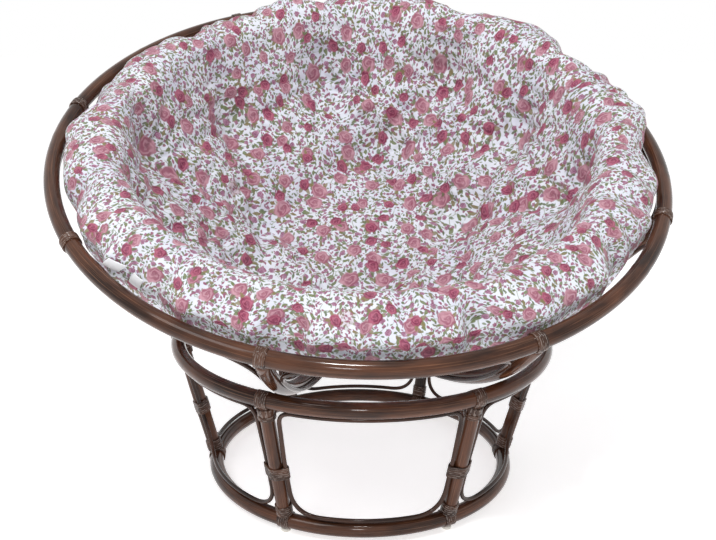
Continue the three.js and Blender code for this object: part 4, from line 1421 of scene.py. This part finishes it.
    def nearest_tuft(self, points: Array) -> Array:
        """Distance from each point to the nearest dimple's bottom."""
        return np.linalg.norm(points[..., None, :] - self.tuft_bottoms(), axis=-1).min(-1)

    @staticmethod
    def disc_quads(number: Array) -> Array:
        """Quads of a square grid of point numbers."""
        corners = [number[:-1, :-1], number[1:, :-1], number[1:, 1:], number[:-1, 1:]]
        return np.stack([c.ravel() for c in corners], 1)

    def keep_clear(self, points: Array) -> Array:
        """Points of the bowl's frame kept in the ribs' sphere, as far up as the rim, and off the rim pole."""
        over_rim = smooth_step(points[:, 2], self.rim_height, self.rim_height + 0.03)
        far = np.linalg.norm(points, axis=-1)
        points = points * np.minimum(1.0, (self.under + self.overhang * over_rim) / far)[:, None]
        level = np.linalg.norm(points[:, :2], axis=-1)
        across, up = level - self.rim_radius, points[:, 2] - self.rim_height
        apart = np.maximum(np.hypot(across, up), 1e-9)
        push = np.clip(self.rim_room - apart, 0.0, None)
        inner = self.rim_radius - self.rim_room + 0.0015 + self.overhang * over_rim
        outer = np.minimum(level + across / apart * push, inner)
        points[:, :2] *= (outer / np.maximum(level, 1e-9))[:, None]
        points[:, 2] += up / apart * push
        return points

    def fill(self, piece: bpy.types.Object, firm: Array) -> None:
        """Cloth pass: pressure from inside a slightly small start, held at the tufts and capped.

        Args:
            piece: the cushion before the pass.
            firm: how firmly each vertex is held, from 0 to 1.
        """
        start = read_places(piece)
        start = start - vertex_values(piece, "normal") * self.small_start * (1.0 - firm[:, None])
        write_places(piece, start)
        group = piece.vertex_groups.new(name="held")
        for level in np.unique(np.round(firm, 1)):
            group.add(np.nonzero(np.round(firm, 1) == level)[0].tolist(), float(level), "REPLACE")
        cloth = piece.modifiers.new("filling", "CLOTH")
        settings = cloth.settings
        given = {
            "quality": 5, "mass": 0.2, "tension_stiffness": 12.0, "compression_stiffness": 12.0,
            "shear_stiffness": 4.0, "bending_stiffness": 0.4, "air_damping": 3.0, "use_pressure": True,
            "uniform_pressure_force": 4.0, "shrink_min": -0.03, "vertex_group_mass": "held",
        }
        for key, value in given.items():
            setattr(settings, key, value)
        settings.effector_weights.gravity = 0.0
        cloth.point_cache.frame_start, cloth.point_cache.frame_end = 1, self.frames
        scene = bpy.context.scene
        for number in range(1, self.frames + 1):
            scene.frame_set(number)
        step = read_places(piece.evaluated_get(bpy.context.evaluated_depsgraph_get())) - start
        piece.modifiers.remove(cloth)
        scene.frame_set(1)
        far = np.linalg.norm(step, axis=1, keepdims=True)
        write_places(piece, start + step * np.minimum(1.0, self.most_filling / np.maximum(far, 1e-9)))

    def build(self) -> bpy.types.Object:
        """Makes the cushion: smooth shape, cloth pass, clearance, one subdivision, small folds."""
        points, chart, quads, firm = self.shape()
        used = np.zeros(len(points), bool)
        used[quads.ravel()] = True
        renumber = np.cumsum(used) - 1
        piece = new_object("cushion", self.keep_clear(points[used]), renumber[quads], chart, self.finish)
        self.fill(piece, firm[used])
        write_places(piece, self.keep_clear(read_places(piece)))
        finer = piece.modifiers.new("finer", "SUBSURF")
        finer.levels = finer.render_levels = 1
        shown = piece.evaluated_get(bpy.context.evaluated_depsgraph_get())
        smooth = bpy.data.meshes.new_from_object(shown)
        piece.modifiers.remove(finer)
        piece.data = smooth
        smooth.name = "cushion"
        points = read_places(piece)
        points = points - vertex_values(piece, "normal") * (self.wrinkles(points) - self.cover)[:, None]
        write_places(piece, self.seat.place(self.keep_clear(points)))
        settle(piece, "cushion", "cushion_cloth", "seat_cushion")
        return piece

    def stitches(self, cushion: bpy.types.Object) -> None:
        """A short crossed stitch of thick thread at the bottom of each tuft, on the filled cushion."""
        places = read_places(cushion)
        bottoms = self.seat.place(self.tuft_bottoms())
        skins = []
        for number, (bottom, into) in enumerate(zip(bottoms, self.seat.direct(self.tuft_frames()[1]))):
            near = places[np.argsort(np.linalg.norm(places - bottom, axis=1))[:6]].mean(0)
            first = unit(np.cross(into, [1.0, 0.2 * number, 0.3]))
            for line in (first, np.cross(into, first)):
                share = np.linspace(-1.0, 1.0, 15)[:, None]
                path = near - into * (0.0016 * (1.0 - share ** 2) + 0.0002) + line * 0.0034 * share
                facing = np.tile(np.cross(line, into), (len(path), 1))
                skins.append(Pole(path, facing, 0.0009, False, number, 8, 0.001, 0.0, 1.0, 0.0).skin())
        settle(make_piece("tuft_stitches", skins, self.thread), "cushion", "cushion_cloth")


@dataclass(frozen=True)
class CareTag:
    """Blank ribbon tag sewn in at the cushion's edge, lying up over the edge roll."""

    number: int
    azimuth: float
    width: float
    length: float
    lean: float
    cushion: TuftedCushion
    finish: bpy.types.Material
    thickness: float = 0.0004
    root: float = math.radians(-24.0)
    probe: float = 0.06

    def grid(self, wide: float, long: float) -> tuple[Array, Array, Array, Array]:
        """Places under the tag on the smooth edge roll, for a spread and a run multiplied by two shares.

        Returns:
            Places, the roll's outward directions, and the flat chart as across and along.
        """
        middle, half = self.cushion.edge_middle, self.cushion.edge_half
        across = np.linspace(-0.5, 0.5, 11) * self.width
        up = np.linspace(0.0, self.length, 17)
        v, u = np.meshgrid(up, across, indexing="ij")
        turn = self.root + v * long / (0.5 * (half[0] + half[1]))
        azimuth = math.radians(self.azimuth) + (u * wide + self.lean * v) / (middle[0] + half[0])
        away = np.stack([np.cos(turn), np.sin(turn)], -1)
        level, height = middle[0] + half[0] * away[..., 0], middle[1] + half[1] * away[..., 1]
        points = outward(azimuth) * level[..., None] + UP * height[..., None]
        normals = outward(azimuth) * away[..., :1] + UP * away[..., 1:]
        return self.cushion.seat.place(points), self.cushion.seat.direct(unit(normals)), u, v

    def laid(self, tree: BVHTree, wide: float, long: float) -> tuple[Array, Array]:
        """The ribbon's middle surface on the cloth, and the directions away from the cloth.

        Rays from outside give the cloth's height above the smooth roll. The ribbon follows the fit
        a + b u + c v + d v^2 + e u v of these heights, raised until it clears all, and sinks at its root.
        """
        points, normals, u, v = self.grid(wide, long)
        height = np.zeros(u.shape)
        for place in np.ndindex(u.shape):
            start = points[place] + normals[place] * self.probe
            far = tree.ray_cast(Vector(start), Vector(-normals[place]), 2.0 * self.probe)[3]
            height[place] = self.probe - far if far is not None else 0.0
        terms = np.stack([np.ones_like(u), u, v, v * v, u * v], -1).reshape(-1, 5)
        fit = (terms @ np.linalg.lstsq(terms, height.ravel(), rcond=None)[0]).reshape(u.shape)
        clear = fit + (height - fit).max() + 0.0008
        root = height.min() - 0.001
        curve = root + (clear - root) * smooth_step(v, -0.004, 0.006)
        curl = 0.0008 * np.cos(u / self.width * np.pi) + 0.002 * (v / self.length) ** 3
        return points + normals * (curve + curl)[..., None], normals

    def build(self, cushion: bpy.types.Object) -> None:
        """Lays the ribbon three times, each with its spread and run set closer, and closes its edges."""
        corners = np.empty(len(cushion.data.loops), np.int32)
        cushion.data.loops.foreach_get("vertex_index", corners)
        places = read_places(cushion)
        tree = BVHTree.FromPolygons(places.tolist(), corners.reshape(-1, 4).tolist())
        wide = long = 1.0
        for _ in range(3):
            front, normals = self.laid(tree, wide, long)
            wide *= self.width / np.linalg.norm(np.diff(front, axis=1), axis=-1).sum(1).mean()
            long *= self.length / np.linalg.norm(np.diff(front, axis=0), axis=-1).sum(0).mean()
        u, v = self.grid(wide, long)[2:]
        half = np.full(len(v), self.thickness / 2.0)
        half[[0, -1]] = 0.0
        shift = normals * half[:, None, None]
        loop = np.concatenate([front + shift, (front - shift)[:, ::-1]], 1)
        flat = np.stack([u, v], -1)
        chart = np.concatenate([flat, flat[:, ::-1] + [0.2, 0.0], flat[:, :1]], 1)
        piece = make_piece(f"care_tag_{self.number}", [Skin(loop, chart)], self.finish)
        settle(piece, "cushion", "cushion_cloth")


@dataclass(frozen=True)
class Softbox:
    """Square area light that faces the middle of the chair."""

    name: str
    place: tuple[float, float, float]
    size: float
    watts: float
    target: tuple[float, float, float] = (0.0, -0.05, 0.35)

    def build(self) -> None:
        """Adds the light."""
        data = bpy.data.lights.new(self.name, "AREA")
        data.shape, data.size, data.energy = "SQUARE", self.size, self.watts
        lamp = bpy.data.objects.new(self.name, data)
        lamp.location = self.place
        lamp.rotation_euler = (Vector(self.target) - Vector(self.place)).to_track_quat("-Z", "Y").to_euler()
        bpy.context.scene.collection.objects.link(lamp)


@dataclass(frozen=True)
class Studio:
    """White floor and surroundings, soft lights, and the camera at the photograph's angle."""

    eye: tuple[float, float, float] = (-0.132, -1.729, 0.869)
    yaw: float = math.radians(-4.31)
    pitch: float = math.radians(16.7)
    roll: float = math.radians(-0.72)
    lens: float = 49.22
    floor_half: float = 9.0
    floor_glow: float = 0.6
    fill_level: float = 0.43
    lights: tuple[Softbox, ...] = (
        Softbox("key", (-1.6, -1.5, 2.7), 1.3, 23.0),
        Softbox("top", (-0.05, -1.25, 3.0), 0.32, 34.0),
        Softbox("front", (-0.3, -3.3, 1.9), 0.4, 14.0),
    )

    def camera(self) -> None:
        """Camera that looks level along +Y, then rolled, pitched down and turned."""
        data = bpy.data.cameras.new("view")
        data.lens, data.sensor_width, data.sensor_fit = self.lens, 36.0, "HORIZONTAL"
        place = Matrix.Translation(self.eye)
        for angle, axis in ((self.yaw, "Z"), (-self.pitch, "X"), (self.roll, "Y"), (math.pi / 2.0, "X")):
            place = place @ Matrix.Rotation(angle, 4, axis)
        eye = bpy.data.objects.new("view", data)
        eye.matrix_world = place
        bpy.context.scene.collection.objects.link(eye)
        bpy.context.scene.camera = eye

    def floor(self) -> None:
        """Wide pale floor with a faint unevenness that keeps the shadow."""
        bench = Bench.of_material("floor_paint")
        place = bench.make("ShaderNodeTexCoord")[3]
        colour = bench.blend(bench.noise(place, 3.0), paint("ffffff"), paint("fbfbfb"))
        glow = bench.make("ShaderNodeEmission", None, Color=colour, Strength=self.floor_glow)[0]
        sheet = bench.make("ShaderNodeBsdfDiffuse", None, Color=colour)[0]
        both = bench.make("ShaderNodeAddShader", None, n0=glow, n1=sheet)[0]
        bench.make("ShaderNodeOutputMaterial", None, Surface=both)
        mesh = bpy.data.meshes.new("floor")
        far = self.floor_half
        mesh.from_pydata([(-far, -far, 0), (far, -far, 0), (far, far, 0), (-far, far, 0)], [], [(0, 1, 2, 3)])
        mesh.materials.append(bench.owner)
        floor = bpy.data.objects.new("floor", mesh)
        bpy.context.scene.collection.objects.link(floor)

    def surroundings(self) -> None:
        """White to the camera and in reflections, and an even light of the fill level on everything."""
        bench = Bench(bpy.data.worlds.new("studio"))
        path = {output.socket.name: output for output in bench.make("ShaderNodeLightPath")}
        seen = bench.math("MAXIMUM", path["Is Camera Ray"], path["Is Glossy Ray"])
        seen = bench.math("MAXIMUM", seen, path["Is Transmission Ray"])
        levels = {"To Min": self.fill_level, "To Max": 1.0}
        strength = bench.make("ShaderNodeMapRange", None, Value=seen, **levels)[0]
        back = bench.make("ShaderNodeBackground", None, Color=(1.0, 1.0, 1.0, 1.0), Strength=strength)[0]
        bench.make("ShaderNodeOutputWorld", None, Surface=back)
        bpy.context.scene.world = bench.owner

    def build(self) -> None:
        """Sets up the floor, the lights and the camera."""
        self.camera()
        self.floor()
        self.surroundings()
        for light in self.lights:
            light.build()
        bpy.context.scene.view_settings.view_transform = "Standard"


def main() -> None:
    """Builds the chair in order: base, bowl, cushion, then the studio."""
    logging.basicConfig(level=logging.INFO, format="%(message)s")
    seat = Seat()
    finishes = Finishes(
        pole=RattanFinish("rattan_pole", Shade.POLE).dress(),
        rod=RattanFinish("rattan_rod", Shade.ROD, fibres=900.0, gloss=0.3).dress(),
        peel=RattanFinish("rattan_peel", Shade.PEEL, 1500.0, 24.0, gloss=0.3, strand=STRAND).dress(),
        glide=GlideFinish().dress(),
    )
    RattanBase(seat, finishes).build()
    RattanBowl(seat, finishes).build()
    # The tuft thread is coloured in the cloth's shaded lavender-grey: painted shade of the pits at the tufts.
    cushion = TuftedCushion(seat, RosePrint().dress(), TagFinish("tuft_thread", "bdb9c4", "a7a2b0").dress())
    filled = cushion.build()
    cushion.stitches(filled)
    ribbon = TagFinish().dress()
    first = CareTag(1, -51.0, 0.033, 0.034, 0.55, cushion, ribbon, root=math.radians(-6.0))
    second = CareTag(2, -45.8, 0.025, 0.032, 0.35, cushion, ribbon, root=math.radians(-19.0))
    for tag in (first, second):
        tag.build(filled)
    Studio().build()


if __name__ == "__main__":
    main()
